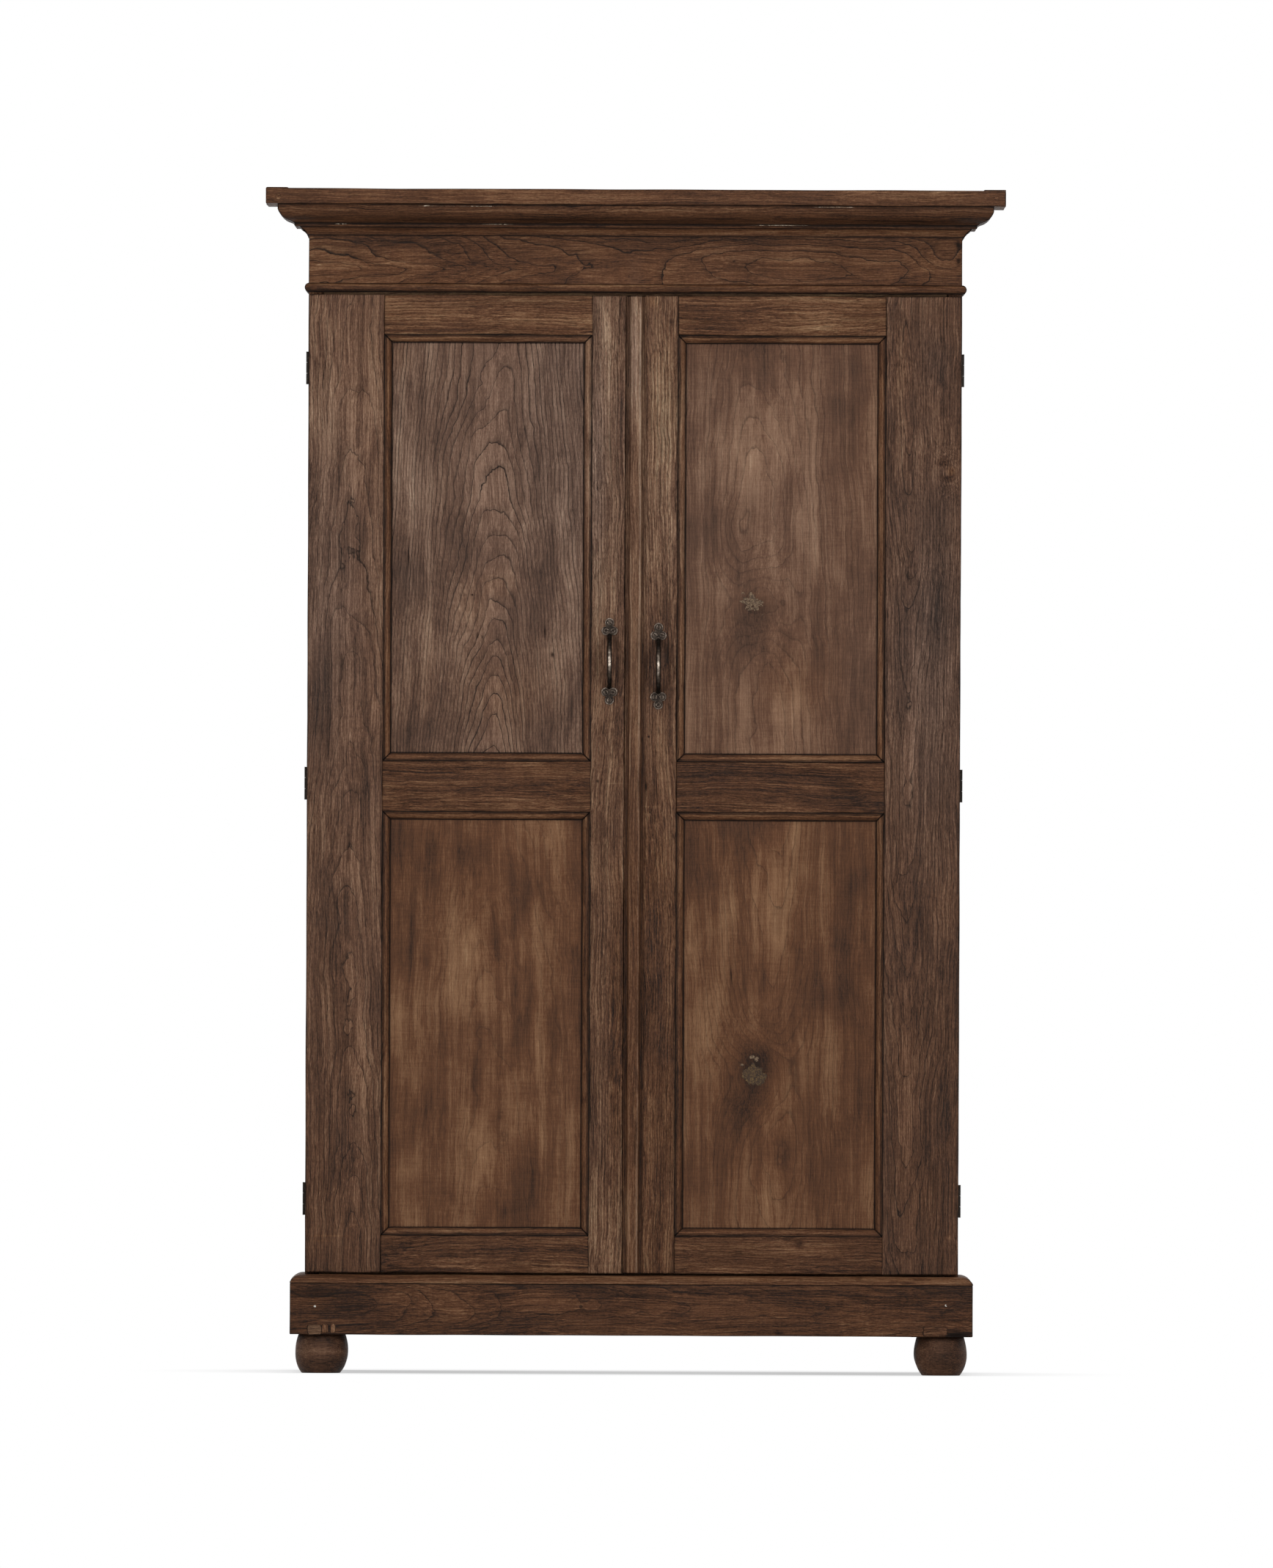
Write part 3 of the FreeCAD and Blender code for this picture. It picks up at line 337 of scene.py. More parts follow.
def teak(name, plain, sheen, deep, roughness, ring_width):
    """Old plain-sawn teak under thin wax: an open-grained brown wood whose growth rings draw dark lines and arches,
    with pores in dashes along the grain, uneven old stain, grime where hands and cloths don't reach, and painted
    shade in creases and gaps. Plain and sheen are its four tones from dark to pale, where the stain is warm and where
    the wax has greyed over it; the sheen tones also paint a grey reflection of the light."""
    item, node, shader = material(name)
    grain, finish, cut = (node("Attribute", settings={"attribute_name": label}).outputs["Vector"]
                          for label in ("grain", "finish", "cut"))
    light, warm, grime = node("SeparateXYZ", finish).outputs
    open_grain, figured, cloudy = node("SeparateXYZ", cut).outputs

    def noise(place, along, across, detail, rough=0.55):
        """A noise with the given number of patterns per metre along and across the grain."""
        scaled = node("VectorMath MULTIPLY", place, (along, across, across))
        return node("TexNoise", Vector=scaled, Scale=1.0, Detail=detail, Roughness=rough)

    def wandered(place, along, across, detail, reach):
        """The place moved across the grain by a noise."""
        swing = node("VectorMath SUBTRACT", noise(place, along, across, detail).outputs["Color"], (0.5, 0.5, 0.5))
        return node("VectorMath ADD", place, node("VectorMath MULTIPLY", swing, (0, reach, reach)))

    def faded(value, reach, start=1.0):
        """Start where the value is 0, fading to nothing where it comes to the reach."""
        return node("MapRange", value, 0.0, reach, start, 0.0)

    def vein(along, across):
        """Thin dark lines where a noise stretched along the grain crosses its middle value."""
        crossing = node("Math SUBTRACT", noise(trunk, along, across, 2), 0.5)
        return faded(node("Math ABSOLUTE", crossing), 0.028)

    # The trunk's bends carry everything; the rings also ripple. Where the rings lie flat to the show face they come
    # out far apart on it, so each ring's line is drawn by its distance along the face
    trunk = wandered(wandered(grain, 1.5, 6, 2, 0.045), 11, 12, 2, 0.009)
    rippled = wandered(trunk, 50, 70, 2, 0.002)
    radius = node("VectorMath LENGTH", node("VectorMath MULTIPLY", rippled, (0, 1, 1))).outputs["Value"]
    across = node("Math ABSOLUTE", node("SeparateXYZ", rippled).outputs["Y"])
    steep = node("Math MAXIMUM", node("Math DIVIDE", across, radius), 0.1)
    spacing = node("Math DIVIDE", ring_width, steep)
    count = node("Math MULTIPLY", radius, 1 / ring_width)
    number = node("Math FLOOR", count)
    season = node("TexWhiteNoise", settings={"noise_dimensions": "1D"}, W=number).outputs["Value"]
    inside = node("Math MULTIPLY", node("Math FRACT", count), spacing)
    outside = node("Math SUBTRACT", spacing, inside)

    # Where two rings meet, a dark line fades further outwards than inwards, over a faint shade that fades further
    # still. Both are stronger in some seasons, and weaker where the rings stand steep to the face
    line = node("Math MAXIMUM", faded(inside, 2.4 * MM), faded(outside, 1.0 * MM))
    ring = node("Math MAXIMUM", line, faded(inside, 12 * MM, 0.28))
    strong = node("Math MULTIPLY_ADD", node("Math POWER", season, 2.0), 0.6, 0.6)
    strong = node("Math MULTIPLY", strong, node("Math MULTIPLY_ADD", steep, -0.45, 1.0))
    ring = node("Math MULTIPLY", node("Math MULTIPLY", ring, strong), figured)

    # Pores: real ones are 0.3 mm wide, drawn here about 1 mm wide so that they show
    pore = node("MapRange", noise(trunk, 60, 700, 2), 0.56, 0.64)
    patchy = node("MapRange", noise(trunk, 9, 40, 3), 0.4, 0.65)
    veins = node("Math MULTIPLY", node("Math MAXIMUM", vein(2.5, 120), vein(4, 300)), patchy)
    pore = node("Math MAXIMUM", node("Math MULTIPLY", pore, 0.8), veins)
    pore = node("Math MULTIPLY", pore, open_grain)

    # Fibres 2 mm wide and 290 mm long, specks of 2 by 5 mm, streaks 17 mm wide, clouds of old stain from 80 mm to
    # 250 mm wide, and nicks of use, 2.6 mm along the grain and 33 mm across it
    fibre = noise(trunk, 3.5, 480, 4, 0.75)
    speckle = noise(trunk, 200, 600, 3, 0.7)
    streak = noise(trunk, 2.2, 60, 3, 0.6)
    cloud = noise(wandered(grain, 5, 5, 3, 0.06), 6, 13, 5)
    stain = noise(trunk, 1.5, 4, 2)
    nick = noise(grain, 380, 30, 3, 0.7)
    broken = node("Math MULTIPLY", light, node("Math MULTIPLY_ADD", streak, 1.6, 0.0))
    fine = weighed(node, 0.0, (fibre, 0.5, 1.3), (speckle, 0.5, 0.6), (streak, 0.5, 0.45))
    fine = node("Math MULTIPLY", fine, node("Math MULTIPLY_ADD", open_grain, 0.8, 0.25))
    soft = weighed(node, 0.0, (cloud, 0.5, 0.95), (streak, 0.5, 0.15), (nick, 0.5, 0.2))
    soft = node("Math MULTIPLY", soft, node("Math MULTIPLY_ADD", cloudy, 0.9, 0.15))
    banded = node("Math MULTIPLY", node("Math SUBTRACT", season, 0.5), figured)

    value = weighed(node, 0.45, (broken, 0, 1), (fine, 0, 1), (soft, 0, 1), (streak, 0.5, 0.15), (banded, 0, 0.08))
    places = (0.12, 0.45, 0.7, 0.98)
    greyed_and_sheen, stained = (stops(node("ValToRGB", value), *zip(places, tones)) for tones in (sheen, plain))
    warmth = node("Clamp", weighed(node, 0.92, (warm, 0, 1.0), (stain, 0.5, 0.5)))
    wood = node("Mix", warmth, settings={"data_type": "RGBA"}, i6=greyed_and_sheen, i7=stained).outputs[2]
    # Rings, pores and grime darken the wood; the grime channel also carries painted shade in creases, seams and gaps
    grain_grime_and_shade = node("Clamp", weighed(node, 0.0, (ring, 0, 1.0), (pore, 0, 0.5), (grime, 0, 0.95)))
    colour = node("Mix", grain_grime_and_shade, settings={"data_type": "RGBA"}, i6=wood, i7=linear(deep)).outputs[2]
    gloss = weighed(node, roughness, (cloud, 0.5, 0.4), (pore, 0, 0.2), (grime, 0, 0.2))
    height = weighed(node, 0.0, (fine, 0, 1.2), (pore, 0, -0.7), (ring, 0, -0.4))
    bump = node("Bump", Height=height, Distance=0.6 * MM, Strength=0.6)
    feed(shader, Base_Color=colour, Specular_IOR_Level=0.1, Roughness=gloss, Normal=bump)
    return item


def iron():
    """Blackened forged iron: dark grey scale, uneven from the hammer, rubbed bright on its high rims and, on a bow's
    front crest, brightened partly by wear and partly as a painted highlight.
    """
    item, node, shader = material("blackened_iron")
    place = node("TexCoord").outputs["Object"]
    # Hammer marks about 4 mm wide and pits about 1 mm wide
    cloud = node("TexNoise", Vector=place, Scale=260.0, Detail=5.0, Roughness=0.65)
    spots = node("TexNoise", Vector=place, Scale=900.0, Detail=3.0)
    wear_and_highlight = node("SeparateXYZ", node("Attribute", settings={"attribute_name": "wear_and_highlight"}).outputs["Vector"])
    bright = node("Clamp", weighed(node, 0.0, (wear_and_highlight, 0, 1.0), (cloud, 0.5, 1.3)))
    tones = ((0.0, "#15100C"), (0.4, "#3A3028"), (0.75, "#6C6056"), (1.0, "#AEA396"))
    gloss = weighed(node, 0.4, (bright, 0.5, -0.15), (spots, 0.5, 0.45))
    height = weighed(node, 0.0, (cloud, 0.5, 1.0), (spots, 0.5, 0.4))
    bump = node("Bump", Height=height, Distance=0.3 * MM, Strength=0.6)
    feed(shader, Base_Color=stops(node("ValToRGB", bright), *tones), Metallic=0.85, Roughness=gloss, Normal=bump)
    return item


def knot_filler(mid, pale, deep):
    """Filler pressed into a knot: a dry, crumbled paste, matt, with dark cracks round its crumbs."""
    item, node, shader = material("knot_filler")
    place = node("TexCoord").outputs["Object"]
    # Crumbs about 5 mm wide, mottled every 3 mm
    crumbs = node("TexVoronoi", settings={"feature": "DISTANCE_TO_EDGE"}, Vector=place, Scale=210.0)
    cloud = node("TexNoise", Vector=place, Scale=320.0, Detail=4.0, Roughness=0.7)
    paste = stops(node("ValToRGB", cloud), (0.3, deep), (0.48, mid), (0.7, pale))
    crack = node("MapRange", crumbs.outputs["Distance"], 0.0, 0.09, 0.8, 0.0)
    colour = node("Mix", crack, settings={"data_type": "RGBA"}, i6=paste, i7=linear(deep)).outputs[2]
    height = weighed(node, 0.0, (cloud, 0.5, 1.0), (crack, 0, -0.8))
    bump = node("Bump", Height=height, Distance=0.8 * MM, Strength=0.8)
    feed(shader, Base_Color=colour, Roughness=0.85, Normal=bump)
    return item


def drawn_steel():
    """Drawn bright steel, dulled by age: fine lines along the rod and a soft sheen."""
    item, node, shader = material("drawn_steel")
    place = node("TexCoord").outputs["Object"]
    # Lines 0.7 mm apart and 17 mm long, coarser than real ones so that they show, and dull patches 8 mm wide
    drawn = node("VectorMath MULTIPLY", place, (1500, 1500, 60))
    lines = node("TexNoise", Vector=drawn, Scale=1.0, Detail=2.0)
    dull = node("TexNoise", Vector=place, Scale=120.0, Detail=4.0)
    colour = stops(node("ValToRGB", dull), (0.35, "#77736D"), (0.65, "#A6A39C"))
    gloss = weighed(node, 0.36, (dull, 0.5, -0.5), (lines, 0.5, 0.2))
    bump = node("Bump", Height=lines, Distance=0.05 * MM, Strength=0.4)
    feed(shader, Base_Color=colour, Metallic=1.0, Roughness=gloss, Normal=bump)
    return item


def moulded_plastic():
    """Brown moulded polystyrene with the fine spark-eroded grain of its mould."""
    item, node, shader = material("moulded_plastic")
    # Grit of 0.6 mm, coarser than the mould's so that it shows
    grit = node("TexNoise", Vector=node("TexCoord").outputs["Object"], Scale=1800.0, Detail=2.0)
    gloss = weighed(node, 0.45, (grit, 0.5, 0.3))
    bump = node("Bump", Height=grit, Distance=0.05 * MM, Strength=0.5)
    feed(shader, Base_Color=linear("#3F2C20"), IOR=1.59, Roughness=gloss, Normal=bump)
    return item


def bright_nail():
    """A wire nail's head, filed flush and rubbed bright, with file marks 1.4 mm wide."""
    item, node, shader = material("rubbed_nail")
    cloud = node("TexNoise", Vector=node("TexCoord").outputs["Object"], Scale=700.0, Detail=3.0)
    colour = stops(node("ValToRGB", cloud), (0.35, "#7D776E"), (0.65, "#C9C5BD"))
    feed(shader, Base_Color=colour, Metallic=0.6, Roughness=weighed(node, 0.45, (cloud, 0.5, -0.3)))
    return item


# The four tones of each wood from dark to pale: where the stain is warm, and where the wax has greyed over it, also
# used for painted sheen
STAINED = ("#1F1109", "#5C3B26", "#826045", "#A98B6A")
WAX_GREY_AND_SHEEN = ("#2A1D16", "#634B3E", "#8D7261", "#B59D88")
PLANED = ("#38281C", "#6E5440", "#957758", "#BDA07A")
BARE = ("#2C1F15", "#664B38", "#80644B", "#9A8064")

# Each coat is a material and its slot
NAIL = (bright_nail(), "teak")
OLD_TEAK = (teak("aged_teak", STAINED, WAX_GREY_AND_SHEEN, "#120A06", 0.5, 4.2 * MM), "teak")
INNER_TEAK = (teak("planed_teak", PLANED, PLANED, "#20140C", 0.62, 4.5 * MM), "inner_teak")
BLACK_IRON = (iron(), "black_iron")


# Shapes

def shown(name, data):
    """An object with the given data, set in the scene."""
    item = bpy.data.objects.new(name, data)
    bpy.context.scene.collection.objects.link(item)
    return item


def make(name, points, faces, body, coat, nodes, attributes):
    """A smooth mesh piece that rides on a body, takes its material from its coat and stands for some nodes."""
    finish, slot = coat
    mesh = bpy.data.meshes.new(name)
    mesh.from_pydata(points.tolist(), [], faces)
    for label, values in attributes.items():
        layer = mesh.attributes.new(label, "FLOAT_VECTOR", "POINT")
        layer.data.foreach_set("vector", np.asarray(values, np.float32).ravel())
    mesh.shade_smooth()
    mesh.materials.append(finish)
    item = shown(name, mesh)
    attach(item, body)
    if nodes:
        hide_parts(*nodes)


def wooden(name, points, faces, body, coat, nodes, grain, finish, cut):
    """A piece of wood, with its place in the log and its finish at each point, and how it was cut."""
    cuts = np.tile(cut, (len(points), 1))
    make(name, points, faces, body, coat, nodes, {"grain": grain, "finish": finish, "cut": cuts})


def grid_lines(low, high, pitch, arris, marks=()):
    """Grid lines along one axis: four near each end to round its arris, others a pitch apart, and some across each
    mark, given by its middle and half size. Of lines that all but meet, one is kept."""
    steps = max(1, round((high - low) / pitch))
    lines = [np.linspace(low, high, steps + 1), low + ARRIS_SHARES * arris, high - ARRIS_SHARES * arris]
    for middle, half in marks:
        lines.append(middle + half * np.linspace(-1.6, 1.6, 9))
    lines = np.sort(np.concatenate(lines))
    lines = lines[(lines >= low) & (lines <= high)]
    apart = np.diff(lines, prepend=low - pitch) > arris * 0.3
    lines = lines[apart]
    lines[-1] = high
    return lines


def quads(index):
    """The faces between neighbouring points of a grid of point numbers."""
    return np.stack([index[:-1, :-1], index[1:, :-1], index[1:, 1:], index[:-1, 1:]], axis=-1).reshape(-1, 4)


def block(lines):
    """A box's closed surface as points and faces: a grid on each of its six sides, along the lines of each axis,
    welded where the sides meet."""
    points, faces, count = [], [], 0
    for axis in (X, Y, Z):
        first, second = (axis + 1) % 3, (axis + 2) % 3
        for end in (0, -1):
            grid = np.empty((len(lines[first]), len(lines[second]), 3))
            grid[..., axis] = lines[axis][end]
            grid[..., first] = lines[first][:, None]
            grid[..., second] = lines[second][None, :]
            side = quads(count + np.arange(grid[..., 0].size).reshape(grid.shape[:2]))
            faces.append(side if end else side[:, ::-1])
            points.append(grid.reshape(-1, 3))
            count += len(points[-1])
    points, number = np.unique(np.round(np.concatenate(points), 7), axis=0, return_inverse=True)
    return points, number.reshape(-1)[np.concatenate(faces)]


def skin(rings, around, flipped=False):
    """The faces of a tube whose points come ring by ring, with a cap on its first and last ring. Flipped, they face
    the other way."""
    index = np.arange(rings * around).reshape(rings, around)
    ahead = np.roll(index, -1, axis=1)
    if flipped:
        corners, caps = (index[:-1], ahead[:-1], ahead[1:], index[1:]), (index[0][::-1], index[-1])
    else:
        corners, caps = (index[:-1], index[1:], ahead[1:], ahead[:-1]), (index[0], index[-1][::-1])
    return np.stack(corners, axis=-1).reshape(-1, 4).tolist() + [cap.tolist() for cap in caps]


# How a board was cut from its log, how open its grain is, how figured and how cloudy it looks, and its knots
Figure = namedtuple("Figure", "across depth slope cut knots", defaults=((0.8, 0.35, 0.4), ()))
COARSE, STREAKED = (1.0, 0.55, 0.45), (1.1, 0.9, 0.45)
MELLOW, RINGED, SMOOTH = (0.85, 0.95, 0.5), (0.5, 1.25, 0.6), (0.25, 0.4, 1.0)
KNOTTED = (0.25, 0.6, 0.8)
STRAIGHT = Figure(0.22, 0.12, 0.0, (0.8, 0.6, 0.3))
FLAT = Figure(0.0, 0.045, 0.06, (0.7, 0.7, 0.5))

# How a board lies: the axis of its grain, the axis of its thickness, and which way its show face looks along that
UPRIGHT, ACROSS, LEVEL = (Z, Y, -1), (X, Y, -1), (X, Z, 1)
PLAIN = (0.0, 0.0, 0.0)
RECESS_RIM = 0.9 * MM


def log_place(points, box, lie, figure, seed):
    """Where each point lay in its log: how far along it, and how far across and deep from the pith. The pith lies
    figure.across of a metre to the side of the board's middle and figure.depth behind its show face, and figure.slope
    carries it away along the board, which draws the arches. A knot adds a bell curve to the depth, which bends the
    rings round it."""
    low, high = box
    grain, thickness, out = lie
    width = 3 - grain - thickness
    along = points[:, grain] - low[grain]
    across = points[:, width] - (low[width] + high[width]) / 2 - figure.across
    show = high[thickness] if out > 0 else low[thickness]
    depth = (show - points[:, thickness]) * out + figure.depth + figure.slope * along
    for x, z, wide, tall, lift in figure.knots:
        depth = depth + lift * np.exp(-((points[:, X] - x) / wide) ** 2 - ((points[:, Z] - z) / tall) ** 2)
    return np.stack([along + seed * LOG_STEP, across, depth], axis=-1)


def near_lines(axis, marks, seams, recesses):
    """Where a board's grid is denser along an axis, as middles and half sizes: seams, dents and recesses' rims."""
    near = [(place, EDGE_DARK_REACH) for seam_axis, place in seams if seam_axis == axis]
    if axis != Y:
        near += [(mark.x, mark.wide) if axis == X else (mark.z, mark.tall) for mark in marks if mark.dent]
    if axis != Z:
        near += [(place, RECESS_RIM) for recess in recesses for place in recess[axis]]
    return near


def board(name, box, lie, tone, seed, nodes, figure=FLAT, body="case", coat=OLD_TEAK, front=False, arris=ARRIS,
          seams=(), edge=0.55, recesses=()):
    """A solid board with worn arrises and slightly wandering faces. Each point p of a box goes to q + r n, where q is
    the nearest point of the box drawn in by r, and n the direction from q to p. The radius r swings with a smooth
    random field, and marks dent what faces the front. Points of the top or the underside that lie in a recess, given
    by its spans in X and Y, its side and its depth, sink by that."""
    low, high = box
    marks = marks_on(box) if front else []
    lines = [grid_lines(low[axis], high[axis], PITCH, arris, near_lines(axis, marks, seams, recesses))
             for axis in (X, Y, Z)]
    points, faces = block(lines)
    chipped = drift(points, CHIP_WAVE, seed + 1) > 1.25
    radius = arris * np.clip(1 + 0.45 * drift(points, WEAR_WAVE, seed) + 0.9 * chipped, 0.4, 2.4)[:, None]
    core = np.clip(points, low + radius, high - radius)
    outward = points - core
    outward /= np.linalg.norm(outward, axis=1, keepdims=True)
    shaped = core + radius * outward
    shaped += outward * (WANDER * drift(points, BOARD_WAVE, seed + 2))[:, None]
    for mark, near in closeness(points, marks):
        shaped[:, Y] += mark.dent * near * np.clip(-outward[:, Y], 0, 1)
    for (x0, x1), (y0, y1), up, depth in recesses:
        sunk = abs(points[:, Z] - (high if up > 0 else low)[Z]) < ARRIS * 0.1
        sunk &= (points[:, X] > x0) & (points[:, X] < x1) & (points[:, Y] > y0) & (points[:, Y] < y1)
        shaped[sunk, Z] = points[sunk, Z] - up * depth
    finish = finish_of(points, tone, TONES + marks if front else ())
    # Grime darkens each edge; along each seam the front half darkens more, painted shade where a trim's toe meets a
    # panel and in the gap above the doors
    from_edge = np.sort(np.minimum(points - low, high - points), axis=1)[:, 1]
    grimy_and_shaded = np.exp(-(from_edge / EDGE_DARK_REACH) ** 2) * (0.75 + 0.35 * drift(points, GRIME_WAVE, seed + 3))
    fronted = points[:, Y] < (low[Y] + high[Y]) / 2
    for axis, place in seams:
        grimy_and_shaded = np.maximum(grimy_and_shaded, np.exp(-((points[:, axis] - place) / EDGE_DARK_REACH) ** 2) * 1.2 * fronted)
    finish[:, 2] += grimy_and_shaded * edge
    grain = log_place(points, box, lie, figure, seed)
    wooden(name, shaped, faces.tolist(), body, coat, nodes, grain, finish, figure.cut)


def arc(start, end, rise, steps=8):
    """Points on the arc from start to end, the end left out: a chord bent to its left by rise, by the circle through
    both ends."""
    start, end = np.array(start, float), np.array(end, float)
    chord = end - start
    reach = hypot(*chord)
    share = np.linspace(0, 1, steps, endpoint=False)
    half = 2 * np.arctan2(2 * abs(rise), reach)
    radius = reach / 2 / sin(half)
    angle = (share * 2 - 1) * half
    lift = radius * (np.cos(angle) - cos(half)) * np.sign(rise)
    along = reach / 2 + radius * np.sin(angle)
    unit = chord / reach
    normal = np.array([-unit[1], unit[0]])
    return start + along[:, None] * unit + lift[:, None] * normal


def softened(corners, radius):
    """An outline with each sharp corner turned into three points on a small round of the given radius. Corners on a
    curve, where it all but runs straight on, stay."""
    corners = np.array(corners, float)
    result = []
    for index, corner in enumerate(corners):
        before = corners[index - 1] - corner
        after = corners[(index + 1) % len(corners)] - corner
        reach_before, reach_after = hypot(*before), hypot(*after)
        before, after = before / reach_before, after / reach_after
        if before @ after < -0.94:
            result.append(corner)
            continue
        back = before * min(radius, reach_before * 0.45)
        forth = after * min(radius, reach_after * 0.45)
        result += [corner + back, corner + (back + forth) * 0.3, corner + forth]
    return np.array(result)


def finer(outline):
    """An outline with points added along its long edges, close together near their ends."""
    outline = np.array(outline, float)
    longest, ends = 6 * MM, 1.4 * MM
    result = []
    for start, end in zip(outline, np.roll(outline, -1, axis=0)):
        reach = hypot(*(end - start))
        steps = grid_lines(0, reach, longest, ends)[:-1] if reach > longest else np.zeros(1)
        result.append(start + (end - start) * (steps / reach)[:, None])
    return np.concatenate(result)


# A moulding's straight run, and the axes of its outline
Run = namedtuple("Run", "origin along out up length mitres")
OUTWARD, UPWARD = 0, 1


def moulding(name, outline, run, tone, seed, nodes, body="case", front=True, arris=0.7 * MM, figure=STRAIGHT,
             bands=()):
    """A length of moulding: the outline (o, u) is carried along a straight run, so that a point is
    origin + o out + u up + t along, with t from -m0 o to length + m1 o. Each mitre m is 1 round an outside corner,
    -1 round an inside one and 0 at a square end. The ends are drawn in to round them over. Each band is an axis of
    the outline, a middle, a half width and the finish added along it."""
    outline = finer(outline)
    origin, along, out, up = (np.array(part, float) for part in run[:4])
    ahead = np.roll(outline, -1, axis=0) - np.roll(outline, 1, axis=0)
    ahead /= np.linalg.norm(ahead, axis=1, keepdims=True)
    area = np.sum(outline[:, 0] * np.roll(outline[:, 1], -1) - np.roll(outline[:, 0], -1) * outline[:, 1])
    normal = np.stack([ahead[:, 1], -ahead[:, 0]], axis=1) * np.sign(area)
    stations = grid_lines(0, run.length, PITCH, arris)
    from_end = np.minimum(stations, run.length - stations)
    inset = arris - np.sqrt(np.maximum(arris ** 2 - np.maximum(arris - from_end, 0) ** 2, 0))
    ring = outline[None] - inset[:, None, None] * normal[None]
    first = -run.mitres[0] * ring[..., 0]
    last = run.length + run.mitres[1] * ring[..., 0]
    travel = first + (last - first) * (stations / run.length)[:, None]
    points = (origin + ring[..., :1] * out + ring[..., 1:] * up + travel[..., None] * along).reshape(-1, 3)
    normals = np.tile(normal[:, :1] * out + normal[:, 1:] * up, (len(stations), 1))
    shaped = points + normals * (WANDER * drift(points, RUN_WAVE, seed))[:, None]
    faces = skin(len(stations), len(outline))
    if np.dot(np.cross(along, out), up) * area < 0:
        faces = [face[::-1] for face in faces]
    across = ring[..., 1] - outline[:, 1].mean() - figure.across
    depth = outline[:, 0].max() - ring[..., 0] + figure.depth + figure.slope * travel
    grain = np.stack([travel + seed * LOG_STEP, across, depth], axis=-1).reshape(-1, 3)
    finish = finish_of(points, tone, TONES + marks_on(points) if front else ())
    # Most bands are painted light: shade in creases and under overhangs, highlights on rounds; some add grime too
    for axis, middle, half, change in bands:
        near = np.exp(-((ring[..., axis].ravel() - middle) / half) ** 2)
        finish += near[:, None] * np.array(change)
    finish[:, 2] += np.repeat(np.exp(-(from_end / EDGE_DARK_REACH) ** 2), len(outline)) * 0.85
    wooden(name, shaped, faces, body, OLD_TEAK, nodes, grain, finish, figure.cut)


def turned(name, profile, centre, tone, seed, nodes, wobble):
    """A turned piece: the profile (r, z) goes round a vertical axis, and r swings by a smooth random field."""
    profile = np.array(profile, float)
    angle = np.linspace(0, 2 * pi, 64, endpoint=False)
    ways = np.stack([np.cos(angle), np.sin(angle), 0 * angle], axis=-1)
    points = profile[:, None, :1] * ways[None] + np.array([0, 0, 1.0]) * profile[:, None, 1:] + np.array(centre)
    points = points.reshape(-1, 3)
    swing = wobble * drift(points, GRIME_WAVE, seed)
    shaped = points + np.tile(ways, (len(profile), 1)) * swing[:, None]
    x, y, z = (points - np.array(centre)).T
    grain = np.stack([x * 0.8 + seed, z * 1.6 + 0.04, y + 0.05], axis=-1)
    faces = skin(len(profile), len(angle), flipped=True)
    wooden(name, shaped, faces, "case", OLD_TEAK, nodes, grain, finish_of(points, tone), (0.7, 0.3, 1.2))


# Doors

TRIM_WIDTH = 13 * MM
TRIM_HEIGHT = 8.5 * MM
TRIM_GAP = 0.45 * MM
PANEL_TUCK = 1.0 * MM
MEETING_LAP = 1.1 * MM
# The knots of the right door: where they are, half the width and height of the wood that each bends, and how far
# it lifts the rings
UPPER_KNOT = (at(1028, 824) + (0.055, 0.065, 0.026),)
LOWER_KNOT = (at(1028, 1468) + (0.06, 0.075, 0.026),)
STILE_KNOT = (at(1296, 645) + (0.022, 0.028, 0.025),)
# Each board of a door: its tone, how it was cut, and its seed
DOOR_BOARDS = {
    "left_upper_panel": ((0.04, -0.5, 0.0), Figure(0.005, 0.055, 0.105, RINGED), 54),
    "left_lower_panel": ((0.0, 0.1, 0.0), Figure(0.02, 0.14, 0.05, SMOOTH), 53),
    "right_upper_panel": ((-0.01, -0.25, 0.0), Figure(-0.015, 0.12, 0.03, KNOTTED, UPPER_KNOT), 68),
    "right_lower_panel": ((0.0, 0.12, 0.0), Figure(-0.02, 0.13, -0.04, KNOTTED, LOWER_KNOT), 67),
    "left_hanging_stile": ((0.0, -0.25, 0.0), Figure(0.012, 0.055, 0.045, MELLOW), 17),
    "left_meeting_stile": ((0.06, -0.1, 0.0), Figure(0.09, 0.05, 0.02, STREAKED), 18),
    "right_meeting_stile": ((0.03, 0.0, 0.0), Figure(-0.08, 0.05, 0.02, STREAKED), 24),
    "right_hanging_stile": ((-0.08, -0.25, 0.0), Figure(-0.02, 0.07, -0.05, MELLOW, STILE_KNOT), 23),
    "left_bottom_rail": ((-0.08, 0.3, 0.0), Figure(0.05, 0.03, 0.02, COARSE), 35),
    "left_lock_rail": ((-0.08, 0.3, 0.0), Figure(0.10, 0.05, 0.01, COARSE), 36),
    "left_top_rail": ((0.05, 0.4, 0.0), Figure(0.08, 0.04, 0.02, COARSE), 37),
    "right_bottom_rail": ((-0.09, 0.3, 0.0), Figure(0.05, 0.03, -0.02, COARSE), 45),
    "right_lock_rail": ((-0.13, 0.3, 0.0), Figure(0.12, 0.05, 0.01, COARSE), 46),
    "right_top_rail": ((0.01, 0.35, 0.0), Figure(0.09, 0.04, -0.02, COARSE), 47),
}


def trim_outline():
    """The trim's section: a narrow flat beside the frame, a quirk, and a rounded slope down to a low toe."""
    flat, quirk, toe, ease = 2.6 * MM, 0.8 * MM, 1.4 * MM, 0.3 * MM
    start, end = (TRIM_WIDTH - 2 * ease, toe), (flat + quirk, TRIM_HEIGHT - quirk)
    slope = arc(start, end, -1.0 * MM, 6)
    corners = [(0, 0), (TRIM_WIDTH, 0), (TRIM_WIDTH, toe * 0.7), *slope, end, (flat, TRIM_HEIGHT - quirk * 1.4),
               (flat - quirk * 0.3, TRIM_HEIGHT), (ease, TRIM_HEIGHT), (0, TRIM_HEIGHT - ease)]
    return softened(corners, 0.5 * MM)


